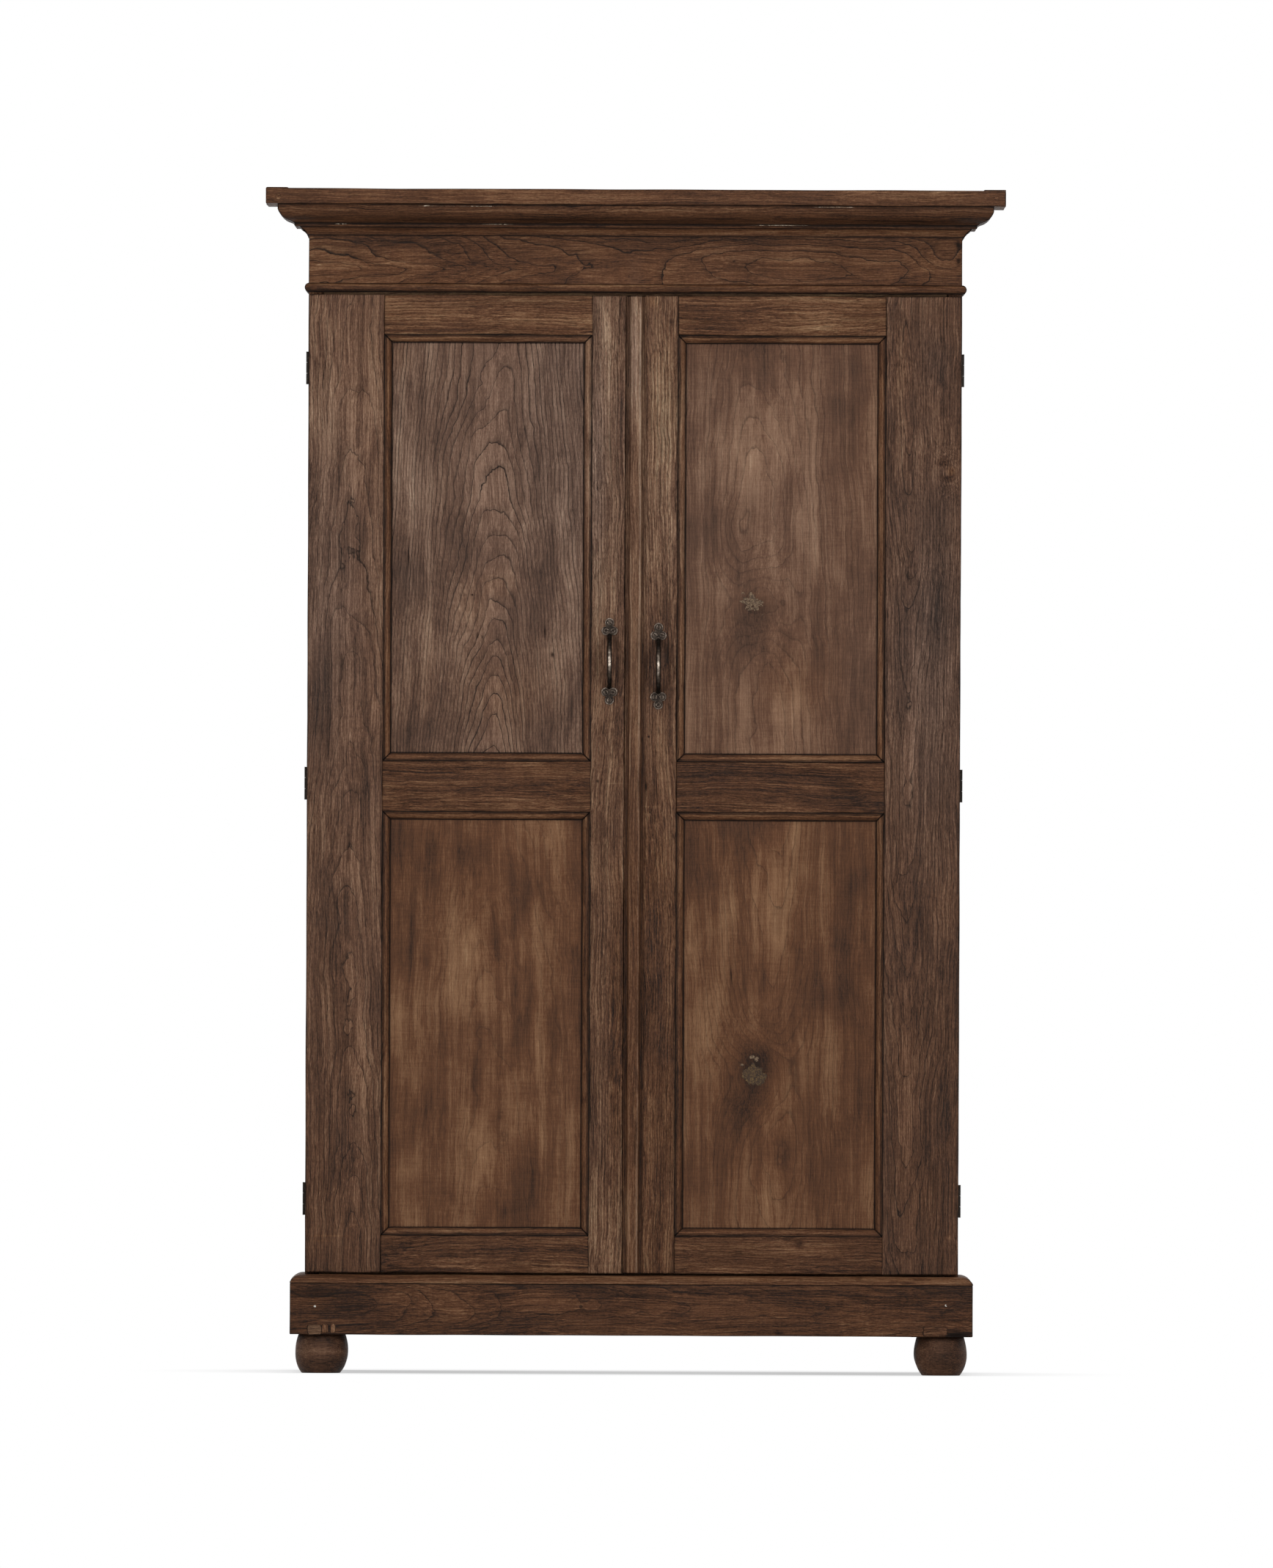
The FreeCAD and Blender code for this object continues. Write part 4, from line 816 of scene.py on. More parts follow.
def panel_trim(side, level, panel_y, corners, seed):
    """Four lengths of trim round a panel, from corner to corner, mitred with open joints."""
    name = SIDE_NAMES[side]
    # Painted shade with grime at both edges and in the quirk, and a painted highlight along the slope
    bands = [(OUTWARD, 0, 1.6 * MM, (-0.2, 0, 1.2)), (OUTWARD, TRIM_WIDTH, 1.7 * MM, (-0.1, 0, 1.1)),
             (OUTWARD, 3.2 * MM, 0.9 * MM, (0.0, 0.0, 0.5)), (OUTWARD, 6 * MM, 2.0 * MM, (0.1, 0.1, -0.1))]
    for number, end in enumerate(("bottom", "right", "top", "left")):
        x, z = corners[number]
        across, up = np.array(corners[(number + 1) % 4]) - (x, z)
        length = hypot(across, up)
        along, inward = np.array([across, 0, up]) / length, np.array([-up, 0, across]) / length
        start = np.array([x, panel_y, z]) + along * TRIM_GAP
        run = Run(start, along, inward, (0, -1, 0), length - 2 * TRIM_GAP, (-1, -1))
        moulding(f"{name}_{level}_trim_{end}", trim_outline(), run, (-0.02, 0.12, 0.0), seed + number,
                 [f"{name}_panel_trim"], f"{name}_door", bands=bands)


def door(side):
    """A door's stiles, rails, panels and trim, each where its node is. Its rails stop at the stiles' edges."""
    name = SIDE_NAMES[side]

    def part(kind, lie, seams=(), **ends):
        node = f"{name}_{kind}"
        tone, figure, seed = DOOR_BOARDS[node]
        board(node + "_board", span(node, **ends), lie, tone, seed, [node], figure, f"{name}_door", front=True,
              seams=seams)

    hanging, meeting = (span(f"{name}_{kind}_stile") for kind in ("hanging", "meeting"))
    _, x0, x1, _ = sorted([hanging[0][X], hanging[1][X], meeting[0][X], meeting[1][X]])
    lap = MEETING_LAP if side == LEFT else 0
    part("hanging_stile", UPRIGHT)
    part("meeting_stile", UPRIGHT, x=(meeting[0][X], meeting[1][X] + lap))
    for kind in ("bottom", "lock", "top"):
        part(f"{kind}_rail", ACROSS, x=(x0, x1))
    for number, (level, below, above) in enumerate((("lower", "bottom", "lock"), ("upper", "lock", "top"))):
        z0, z1 = span(f"{name}_{below}_rail")[1][Z], span(f"{name}_{above}_rail")[0][Z]
        # The seams lie where the trims' toes meet the panel, and are darkened there as painted shade
        seams = [(X, x0 + TRIM_WIDTH), (X, x1 - TRIM_WIDTH), (Z, z0 + TRIM_WIDTH), (Z, z1 - TRIM_WIDTH)]
        part(f"{level}_panel", UPRIGHT, seams, x=(x0 - PANEL_TUCK, x1 + PANEL_TUCK),
             z=(z0 - PANEL_TUCK, z1 + PANEL_TUCK))
        panel_y = span(f"{name}_{level}_panel")[0][Y]
        seed = 400 + 4 * number + 8 * (side > 0)
        panel_trim(side, level, panel_y, [(x0, z0), (x1, z0), (x1, z1), (x0, z1)], seed)


def meeting_strip():
    """The planted bead on the line between the doors: two low flanks with a hollow, and a round bead between."""
    low, high = span("meeting_strip")
    width = high[X] - low[X]
    flank, base, bulge = 6.0 * MM, 2.5 * MM, 6.0 * MM
    lip, toe, shoulder = 1.2 * MM, 0.5 * MM, 2.5 * MM
    left, right = (flank - lip, toe), (width - flank + lip, toe)
    bead = arc(left, right, bulge + base - toe, 22)
    corners = [(0, 0), (0, base), (lip, base), (lip + toe, toe), *bead, right, (width - lip - toe, toe),
               (width - lip, base), (width, base), (width, 0)]
    # The flanks' bands are painted shade in the hollows beside the bead, with grime; the shoulders' lighter, greyer
    # bands are partly wear, partly a painted highlight
    grimy_and_shaded = (-0.1, 0.0, 0.5)
    bands = [(OUTWARD, flank * 0.5, 2.4 * MM, grimy_and_shaded), (OUTWARD, width - flank * 0.5, 2.6 * MM, grimy_and_shaded),
             (OUTWARD, flank + shoulder, 1.2 * MM, (0.08, -0.2, -0.1)),
             (OUTWARD, width - flank - shoulder, 1.3 * MM, (0.2, -0.5, -0.1))]
    run = Run((low[X], high[Y], low[Z]), (0, 0, 1), (1, 0, 0), (0, -1, 0), high[Z] - low[Z], (0, 0))
    moulding("meeting_strip_bead", corners, run, (0.03, 0.0, 0.0), 90, ["meeting_strip"], "right_door",
             arris=2.0 * MM, bands=bands)


# Mends: fillers pressed into knots, let-in patches, plugs and nails

def mend(name, column, row, wide, tall, lift, face, coat, seed, square=2.0, rough=0.12):
    """A low dome on a face of the front at a pixel of the photograph, half as wide and tall as given in mm. Its
    outline is a superellipse |x|^p + |z|^p = 1 whose radius swings with a smooth random field, and its rim sinks into
    the board."""
    face_y, body = face
    x, z = at(column, row)
    angle = np.linspace(0, 2 * pi, 72, endpoint=False)
    ways = np.stack([np.cos(angle), np.sin(angle)], axis=-1)
    reach = (np.abs(ways) ** square).sum(axis=-1) ** (-1 / square)
    edge = np.stack([ways[:, 0], np.full_like(angle, seed * 3.1), ways[:, 1]], axis=-1)
    reach = reach * (1 + rough * drift(edge, 0.9, seed) + rough * 0.5 * drift(edge, 0.25, seed + 1))
    # Each ring's share of the outline's reach and of the dome's height, from the sunk rim to the flat middle
    rings = np.array([(1.0, -0.6), (1.0, 0.25), (0.95, 0.7), (0.85, 0.95), (0.65, 1.0), (0.4, 1.0), (0.15, 1.0)])
    spread = ways[None] * reach[None, :, None] * rings[:, None, :1]
    height = np.repeat(rings[:, 1:], len(angle), axis=1)
    across, up = spread[..., 0] * wide * MM, spread[..., 1] * tall * MM
    points = np.stack([x + across, face_y - height * lift * MM, z + up], axis=-1).reshape(-1, 3)
    points[:, Y] -= 0.25 * lift * MM * drift(points, 3 * MM, seed + 2) * (height.ravel() > 0.5)
    joint = np.repeat((rings[:, 0] > 0.9) * 0.9, len(angle))
    lie = UPRIGHT if tall > wide else ACROSS
    grain = log_place(points, (points.min(axis=0), points.max(axis=0)), lie, FLAT, seed)
    faces = skin(len(rings), len(angle), flipped=True)
    wooden(name, points, faces, body, coat, (), grain, np.outer(joint, (0, 0, 1)), COARSE)


def mends():
    """The mends that the photograph shows: two filled knots, the plinth's patches, plugs, nails, and slits of painted
    light.
    """
    panel = span("right_upper_panel")[0][Y], "right_door"
    crown = span("crown_moulding")[0][Y], "case"
    fillet = span("frieze")[0][Y] - CROWN_FILLET, "case"
    plinth_face = span("plinth_front")[0][Y], "case"
    slab = span("top_edging_front")[0][Y], "case"
    filler = knot_filler("#66523F", "#877258", "#2C1D12"), "teak"
    dark_filler = knot_filler("#3F2B16", "#6A5330", "#1A0D06"), "teak"
    # Pale paste in the cornice's joints stands for light seen through the gaps: painted light
    slit_light = knot_filler("#BBA78E", "#E6DCCB", "#5E4735"), "teak"
    pale = teak("pale_patch", BARE, WAX_GREY_AND_SHEEN, "#150C07", 0.6, 4 * MM), "teak"
    # Name, column, row, half width, half height, lift, face, coat, seed, and where given squareness and rough rim
    table = (
        ("upper_knot_filler", 1028, 822, 17, 13, 0.5, panel, filler, 1322, 2.0, 0.16),
        ("lower_knot_filler", 1028, 1466, 16, 16, 0.5, panel, dark_filler, 1966, 2.0, 0.16),
        ("knot_chip_0", 1026, 1441, 4, 3, 0.35, panel, filler, 520),
        ("knot_chip_1", 1032, 1444, 3, 3.5, 0.35, panel, filler, 521),
        ("knot_chip_2", 1012, 1452, 2.5, 2, 0.35, panel, filler, 522),
        ("knot_chip_3", 1013, 809, 3, 2, 0.35, panel, filler, 523),
        ("knot_chip_4", 1038, 838, 4, 2, 0.35, panel, filler, 524),
        # These pale slits are painted light along the cornice's joints
        ("light_slit_0", 583, 281.0, 6.5, 0.9, 0.25, crown, slit_light, 570, 2.0, 0.2),
        ("light_slit_1", 642, 281.6, 60, 0.4, 0.25, crown, slit_light, 571, 2.0, 0.2),
        ("light_slit_2", 1137, 283.0, 32, 0.3, 0.25, crown, slit_light, 572, 2.0, 0.2),
        ("light_slit_3", 465, 305.6, 9, 0.5, 0.25, fillet, slit_light, 573, 2.0, 0.2),
        ("light_slit_4", 684, 306.2, 38, 0.4, 0.25, fillet, slit_light, 574, 2.0, 0.2),
        ("light_slit_5", 1044, 307.4, 76, 0.55, 0.25, fillet, slit_light, 575, 2.0, 0.2),
        ("plinth_patch_left", 429, 1813, 11.5, 8.5, 0.5, plinth_face, pale, 530, 6.0, 0.03),
        ("plinth_patch_left_dark", 443.5, 1811, 5, 7.5, 0.5, plinth_face, OLD_TEAK, 531, 4.0, 0.04),
        ("plinth_patch_left_end", 454, 1811, 3.8, 7.5, 0.5, plinth_face, OLD_TEAK, 532, 3.0, 0.05),
        ("plinth_patch_right", 1275.5, 1815.5, 20, 7.2, 0.6, plinth_face, OLD_TEAK, 533, 8.0, 0.02),
        ("plinth_nail_0", 429.5, 1781, 1.9, 1.9, 0.5, plinth_face, NAIL, 540, 2.0, 0.05),
        ("plinth_nail_1", 1290, 1780, 1.9, 1.9, 0.5, plinth_face, NAIL, 541, 2.0, 0.05),
        ("edge_plug_0", 380, 269, 4.2, 4.2, 0.3, slab, OLD_TEAK, 550, 2.0, 0.03),
        ("edge_plug_1", 1358.7, 271, 3.6, 3.6, 0.3, slab, OLD_TEAK, 551, 2.0, 0.03),
    )
    for row in table:
        mend(*row)


# Cornice, plinth and feet, round the front and both sides

CROWN_FILLET = 22.0 * MM
TOP_FRONT_ARRIS, TOP_SIDE_ARRIS = 1.4 * MM, 1.6 * MM
PLINTH_THICK = 20 * MM
CAP_WIDE = 60 * MM


def wrapped(name, node, outline, mount, tone, seed, bands, figure=STRAIGHT):
    """A moulding in three lengths, mitred at the front corners. Its mount is half the width and the front that its
    outline starts from."""
    mount_x, mount_y = mount
    z = span(node)[0][Z]
    back_y = cad_high[Y]
    depth = back_y - mount_y
    up = (0, 0, 1)
    runs = {
        "front": Run((-mount_x, mount_y, z), (1, 0, 0), (0, -1, 0), up, 2 * mount_x, (1, 1)),
        "left": Run((-mount_x, back_y, z), (0, -1, 0), (-1, 0, 0), up, depth, (0, 1)),
        "right": Run((mount_x, mount_y, z), (0, 1, 0), (1, 0, 0), up, depth, (1, 0)),
    }
    for number, (part, run) in enumerate(runs.items()):
        moulding(f"{name}_{part}", outline, run, tone, seed + number, [node], front=part == "front", figure=figure,
                 bands=bands)


def frieze():
    """The frieze board, with a swell, a flame and an oval in its figure."""
    box = span("frieze")
    flame_x, flame_z = at(560, 368)
    swell_x, _ = at(800, 368)
    oval_x, oval_z = at(1290, 352)
    # Each with half the width and height of the wood that it bends, and how far it lifts the rings
    flames = ((swell_x, flame_z, 0.19, 0.3, 0.022), (flame_x, flame_z, 0.25, 0.011, -0.006),
              (oval_x, oval_z, 0.045, 0.03, 0.012))
    pith = flame_z - (box[0][Z] + box[1][Z]) / 2
    figure = Figure(pith, 0.1, 0.03, (0.75, 1.35, 0.5), flames)
    board("frieze_board", box, ACROSS, (-0.11, 0.2, 0.0), 101, ["frieze"], figure, front=True)


def necking(tall, reach):
    """The necking bead's half round, and its bands."""
    # Painted shade with grime at the bead's foot and top, and a painted highlight high on its round
    bands = [(UPWARD, 0, 2.5 * MM, (-0.25, 0.0, 0.9)), (UPWARD, tall * 0.8, 2 * MM, (0.2, 0.1, 0.0)),
             (UPWARD, tall, 1.2 * MM, (-0.2, 0.0, 0.6))]
    return [*arc((0, tall), (0, 0), reach, 14), (0, 0)], bands


def bed(tall, reach):
    """The bed moulding's section, a lip and a swollen slope, and its bands."""
    lip = 3.0 * MM
    slope = arc((lip, lip * 0.3), (reach - lip, tall - lip), 1.5 * MM, 8)
    corners = [(0, 0), (lip, 0), *slope, (reach - lip, tall - lip), (reach, tall), (0, tall)]
    # Painted shade with grime at both edges, and a painted highlight on the slope
    bands = [(UPWARD, 0, 1.8 * MM, (-0.2, 0.0, 0.9)), (UPWARD, tall, 2 * MM, (-0.2, 0.0, 0.7)),
             (UPWARD, tall * 0.55, 2.5 * MM, (0.1, 0.1, 0.0))]
    return softened(corners, 0.6 * MM), bands


def crown(tall, reach):
    """The crown's section, a fillet, a slight hollow, a swell and a cap, and its bands."""
    fillet, cap = 4.5 * MM, 8.0 * MM
    turn = (CROWN_FILLET + (reach - CROWN_FILLET) * 0.43, fillet + (tall - fillet - cap) * 0.26)
    hollow = arc((CROWN_FILLET, fillet), turn, 0.6 * MM, 6)
    swell = arc(turn, (reach, tall - cap), -2.6 * MM, 12)
    corners = [(0, 0), (CROWN_FILLET, 0), *hollow, *swell, (reach, tall - cap), (reach, tall), (0, tall)]
    # Painted shade: dark at the fillet, in the slab's shadow at the top, and darker, warmer low on the swell; a
    # painted highlight higher on it
    bands = [(UPWARD, fillet, 1.4 * MM, (-0.2, 0.0, 1.0)), (UPWARD, tall, 1.5 * MM, (-0.2, 0.0, 0.9)),
             (UPWARD, tall * 0.72, 6 * MM, (0.1, 0.0, 0.0)), (UPWARD, tall * 0.36, 5 * MM, (-0.12, 0.3, 0.1))]
    return softened(corners, 0.5 * MM), bands


def top():
    """The flat top: a board along the front, the panel behind it and an edging on each side."""
    board("top_front_board", span("top_edging_front"), LEVEL, (-0.04, 0.12, 0.0), 141, ["top_edging_front"],
          Figure(0.1, 0.06, 0.01), front=True, arris=TOP_FRONT_ARRIS)
    panel_low, panel_high = span("top_panel")
    board("top_panel_board", (panel_low, panel_high), LEVEL, (0.0, 0.05, 0.0), 142, ["top_panel"],
          Figure(0.02, 0.05, 0.05))
    low, high = span("top_edging_sides")
    for side, name in SIDE_NAMES.items():
        x = (low[X], panel_low[X]) if side < 0 else (panel_high[X], high[X])
        board(f"top_{name}_board", span("top_edging_sides", x=x), (Y, Z, 1), (0.02, 0.05, 0.0), 143 + side,
              ["top_edging_sides"], Figure(0.05, 0.05, 0.02), arris=TOP_SIDE_ARRIS)


def cornice():
    """Frieze, necking bead, bed moulding, crown and the flat top with its edging."""
    frieze()
    face_y, half_case = span("frieze")[0][Y], span("frieze")[1][X]
    for name, node, section, tone, seed in (
            ("necking", "necking_bead", necking, (-0.16, 0.6, 0.0), 110),
            ("bed", "bed_moulding", bed, (-0.12, 0.3, 0.0), 120),
            ("crown", "crown_moulding", crown, (-0.12, 0.4, 0.0), 130)):
        low, high = span(node)
        corners, bands = section(high[Z] - low[Z], face_y - low[Y])
        wrapped(name, node, corners, (half_case, face_y), tone, seed, bands)
    top()


def plinth():
    """Three mitred boards, a back board and the rounded cap that carries the case."""
    low, high = span("plinth_front")
    thick, tall = PLINTH_THICK, high[Z] - low[Z]
    corners = softened([(0, 0), (thick, 0), (thick, tall), (0, tall)], 1.6 * MM)
    # The plinth's band is painted shade with grime along its top, under the cap's nose
    wrapped("plinth", "plinth_front", corners, (high[X] - thick, low[Y] + thick), (-0.14, 0.15, 0.0), 150,
            [(UPWARD, tall, 1.6 * MM, (-0.2, 0.0, 1.0))], Figure(0.004, 0.05, 0.045, (0.9, 0.85, 0.5)))
    for side in ("left", "right"):
        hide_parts("plinth_sides")
    # The back board reaches up to the planks, so that no light falls in between
    box = span("plinth_back", z=(span("plinth_back")[0][Z], span("back_planks")[0][Z]))
    board("plinth_back_board", box, (X, Y, 1), (-0.05, 0.0, 0.0), 155, ["plinth_back"], coat=INNER_TEAK)
    low, high = span("plinth_cap")
    tall, wide, nose, lip = high[Z] - low[Z], CAP_WIDE, 18 * MM, 1.5 * MM
    round_nose = arc((wide, lip), (wide - nose, tall), -3.0 * MM, 12)
    corners = [(0, 0), (wide, 0), *round_nose, (wide - nose, tall), (0, tall)]
    corners = softened(corners, 0.6 * MM)
    # The cap's band is a painted highlight along the top of its nose
    wrapped("cap", "plinth_cap", corners, (high[X] - wide, low[Y] + wide), (0.0, 0.22, 0.0), 160,
            [(UPWARD, tall * 0.95, 1.8 * MM, (0.05, 0.1, 0.0))])


def end_of(low, high, size, far):
    """The stretch of the given size at the near or the far end of low to high."""
    return (high - size, high) if far else (low, low + size)


def foot_blocks():
    """Four blocks inside the plinth's corners, which take the feet."""
    low, high = span("foot_blocks")
    for side, name in SIDE_NAMES.items():
        for row in ("front", "back"):
            box = span("foot_blocks", x=end_of(low[X], high[X], FOOT_BLOCK, side > 0),
                       y=end_of(low[Y], high[Y], FOOT_BLOCK, row == "back"))
            board(f"foot_block_{row}_{name}", box, (Z, Y, 1), (-0.05, 0.0, 0.0), 165, ["foot_blocks"],
                  coat=INNER_TEAK)


def feet():
    """Four turned bun feet: a flat sole with a soft edge, a belly and a neck that enters the plinth."""
    sole, neck, tall = 30.5 * MM, 35 * MM, 60 * MM
    belly, shoulder = (40.3 * MM, 29 * MM), (neck, tall - 0.4 * MM)
    below = arc((sole, 1.2 * MM), belly, -2.4 * MM, 14)
    above = arc(belly, shoulder, -1.4 * MM, 12)
    profile = [(sole - 6 * MM, 0), (sole - 1.4 * MM, 0), *below, *above, shoulder,
               (neck - 1 * MM, tall - 0.05 * MM)]
    for row in ("front", "back"):
        low, high = span(f"{row}_feet")
        radius = (high[Y] - low[Y]) / 2
        for side, name in SIDE_NAMES.items():
            centre_x = high[X] - radius if side > 0 else low[X] + radius
            turned(f"foot_{row}_{name}", profile, (centre_x, (low[Y] + high[Y]) / 2, 0),
                   (-0.13 - 0.07 * side, -0.3, 0.1), 170 + side, [f"{row}_feet"], 0.35 * MM)


# Case

SIDE_STILE = 60 * MM
SIDE_MIDDLE = 850 * MM
BOTTOM_RAIL, MIDDLE_RAIL, TOP_RAIL = 90 * MM, 70 * MM, 205 * MM
SIDE_TUCK = 1 * MM
PLANKS, PLANK_GAP = 6, 1 * MM
FOOT_BLOCK = 76 * MM
BEARER_THICK, BEARER_TALL = 18 * MM, 26 * MM
BOLT_HOLE = 13 * MM


def case_side(side):
    """A side frame of two stiles and three rails, and its two panels."""
    name = SIDE_NAMES[side]
    node = f"{name}_side_frame"
    low, high = span(node)
    y0, y1 = low[Y] + SIDE_STILE, high[Y] - SIDE_STILE
    whole, bottom = (low[Z], high[Z]), (low[Z], low[Z] + BOTTOM_RAIL)
    middle, above = (low[Z] + SIDE_MIDDLE, low[Z] + SIDE_MIDDLE + MIDDLE_RAIL), (high[Z] - TOP_RAIL, high[Z])
    parts = (("front_stile", (low[Y], y0), whole, Z), ("back_stile", (y1, high[Y]), whole, Z),
             ("bottom_rail", (y0, y1), bottom, Y), ("middle_rail", (y0, y1), middle, Y),
             ("top_rail", (y0, y1), above, Y))
    for number, (label, y, z, grain) in enumerate(parts):
        board(f"{name}_side_{label}", span(node, y=y, z=z), (grain, X, side), (-0.05, 0.0, 0.0),
              201 + number + 10 * side, [node], Figure(0.03, 0.05, 0.04))
    node = f"{name}_side_panels"
    for label, (_, start), (end, _) in (("lower_panel", bottom, middle), ("upper_panel", middle, above)):
        box = span(node, y=(y0 - SIDE_TUCK, y1 + SIDE_TUCK), z=(start - SIDE_TUCK, end + SIDE_TUCK))
        board(f"{name}_side_{label}", box, (Z, X, side), (0.0, 0.05, 0.0), 210 + 10 * side, [node],
              Figure(0.0, 0.05, 0.1))


def keeper_recesses(up):
    """What is cut out of a board's top, or of its underside where up is -1, for a keeper and for the bolt's end."""
    low, high = span("bolt_keepers")
    thick = span("bottom_board")[1][Z] - low[Z]
    rod_low, rod_high = span("bottom_bolt_rod")
    radius = (rod_high[X] - rod_low[X]) / 2
    x, y = (rod_low[X] + rod_high[X]) / 2, rod_low[Y] + radius
    fit, half = 0.4 * MM, radius + 0.8 * MM
    plate = ((low[X] - fit, high[X] + fit), (low[Y] - fit, high[Y] + fit), up, thick + fit)
    return [plate, ((x - half, x + half), (y - half, y + half), up, BOLT_HOLE)]


def carcass():
    """Bottom board, head rail, ceiling, shelves, back planks and bearers. The bottom board and the head rail are cut
    out for the bolts' keepers and for the bolts."""
    for number, node in enumerate(("bottom_board", "case_ceiling", "lower_shelf", "middle_shelf", "upper_shelf")):
        recesses = keeper_recesses(1) if node == "bottom_board" else ()
        board(node + "_plank", span(node), LEVEL, PLAIN, 220 + number, [node], coat=INNER_TEAK, recesses=recesses)
    box = span("head_rail")
    # The head rail's seam and its stronger edge darkening are painted shade in the gap above the doors
    gap = (span("left_hanging_stile")[1][Z] + box[1][Z]) / 2
    board("head_rail_board", box, ACROSS, PLAIN, 230, ["head_rail"], coat=INNER_TEAK, edge=1.2, seams=[(Z, gap)],
          recesses=keeper_recesses(-1))
    low, high = span("back_planks")
    pitch = (high[X] - low[X] + PLANK_GAP) / PLANKS
    for number in range(PLANKS):
        start = low[X] + pitch * number
        box = span("back_planks", x=(start, start + pitch - PLANK_GAP))
        tone = (0.03 * (-1) ** number, 0.0, 0.0)
        board(f"back_plank_{number}", box, UPRIGHT, tone, 240 + number, ["back_planks"], Figure(0.03, 0.04, 0.05),
              coat=INNER_TEAK)
    low, high = span("shelf_bearers")
    for level in ("lower", "middle", "upper"):
        shelf_z = span(f"{level}_shelf")[0][Z]
        for side, name in SIDE_NAMES.items():
            box = span("shelf_bearers", x=end_of(low[X], high[X], BEARER_THICK, side > 0),
                       z=(shelf_z - BEARER_TALL, shelf_z))
            board(f"{level}_{name}_bearer", box, (Y, X, -side), PLAIN, 250 + side, ["shelf_bearers"],
                  coat=INNER_TEAK)


# Iron

BOW_REACH, BOW_RISE = 39 * MM, 31 * MM
PLATE_THICK = 2.5 * MM
# In mm: a plate's discs, each by how far aside and how far from the handle's middle it lies and its radius, the
# plate's own middle, and its screws
PLATE_DISCS = ((0, 60, 7.2), (-5.8, 47.5, 6.8), (5.8, 47.5, 6.8), (0, 52.5, 5.6))
PLATE_MIDDLE = 51.0
PLATE_SCREWS = ((0, 60), (-5.4, 48), (5.4, 48))
SCREW_SEAT = 2.2 * MM


def forged(name, points, faces, side, node, wear_and_highlight):
    """A piece of black iron on a door, with how bright it is at each point: rubbed wear, and on a bow a painted
    highlight.
    """
    worn_and_lit = np.repeat(np.reshape(wear_and_highlight, (-1, 1)), 3, axis=1)
    make(name, points, faces, f"{SIDE_NAMES[side]}_door", BLACK_IRON, [node], {"wear_and_highlight": worn_and_lit})


def bow(side):
    """A forged bow: a tube along an arc between its plates, thickest in the middle, faceted by the hammer."""
    name = SIDE_NAMES[side]
    low, high = span(f"{name}_handle")
    x, _, z = (low + high) / 2
    circle = (BOW_REACH ** 2 + BOW_RISE ** 2) / (2 * BOW_RISE)
    half = np.arcsin(BOW_REACH / circle)
    angle = np.linspace(-half * 1.06, half * 1.06, 72)
    y = high[Y] - PLATE_THICK - BOW_RISE + circle - circle * np.cos(angle)
    middle = np.stack([np.full_like(angle, x), y, z + circle * np.sin(angle)], axis=-1)
    toward = np.stack([0 * angle, -np.cos(angle), np.sin(angle)], axis=-1)
    # Half as thick in mm: at the ends, what the middle adds, and what the collars at the plates add
    thick = (3.8 + 0.35 * np.cos(angle / half * pi / 2) ** 2 + 0.3 * (np.abs(angle / half) > 0.93)) * MM
    turn = np.linspace(0, 2 * pi, 28, endpoint=False)[:, None]
    around = np.array([1.0, 0, 0]) * np.cos(turn) * 0.94 + toward[:, None] * np.sin(turn)
    points = (middle[:, None] + around * thick[:, None, None]).reshape(-1, 3)
    points = points + around.reshape(-1, 3) * (0.22 * MM * drift(points, 9 * MM, 300 + side))[:, None]
    # The bow's front crest is brightest at its middle: partly rubbed wear, partly a painted highlight on the side
    # facing the lights
    crest = np.clip(np.cos(angle / half * pi / 2) ** 3 * 1.2 - 0.3, 0, 1)
    wear_and_highlight = crest[:, None] * np.clip(np.sin(turn), 0, 1).T ** 3
    forged(f"{name}_bow", points, skin(len(angle), len(turn)), side, f"{name}_handle", wear_and_highlight)


def plate(side, up):
    """A trefoil plate: at each angle round its middle the outline is the softly joined outermost of its discs, and
    rings carry it from the back up a bevelled rim to a slightly sunk face."""
    name = SIDE_NAMES[side]
    low, high = span(f"{name}_handle")
    x, _, z = (low + high) / 2
    angle = np.linspace(0, 2 * pi, 96, endpoint=False)
    ways = np.stack([np.cos(angle), np.sin(angle)], axis=-1)
    reaches = []
    for aside, away, radius in PLATE_DISCS:
        offset = np.array([aside, away - PLATE_MIDDLE])
        along = ways @ offset
        inside = along ** 2 - (offset @ offset - radius ** 2)
        reaches.append(np.where(inside > 0, along + np.sqrt(np.maximum(inside, 0)), 0))
    reach = (np.array(reaches) ** 16).sum(axis=0) ** (1 / 16)
    # Each ring's share of the reach, its lift in mm and how bright it is rubbed
    rings = np.array([(1.0, 0.0, 0.15), (1.0, 1.6, 0.65), (0.97, 2.1, 0.8), (0.90, 2.45, 0.45), (0.8, 2.3, 0.16),
                      (0.55, 2.2, 0.12), (0.2, 2.3, 0.16)])
    share, lift, wear_and_highlight = (column[:, None] for column in rings.T)
    spread = ways * (reach * share)[..., None]
    y = np.repeat(high[Y] - lift * MM, len(angle), axis=1)
    points = np.stack([x + spread[..., 0] * MM, y, z + up * (PLATE_MIDDLE + spread[..., 1]) * MM], axis=-1)
    points = points.reshape(-1, 3)
    hammered = 0.12 * MM * drift(points, 8 * MM, 310 + side + up)
    points[:, Y] -= np.where(points[:, Y] < high[Y] - 2 * MM, hammered, 0)
    faces = skin(len(rings), len(angle), flipped=True)
    if up < 0:
        faces = [face[::-1] for face in faces]
    forged(f"{name}_plate_{'top' if up > 0 else 'bottom'}", points, faces, side, f"{name}_handle",
           np.repeat(wear_and_highlight, len(angle), axis=1))


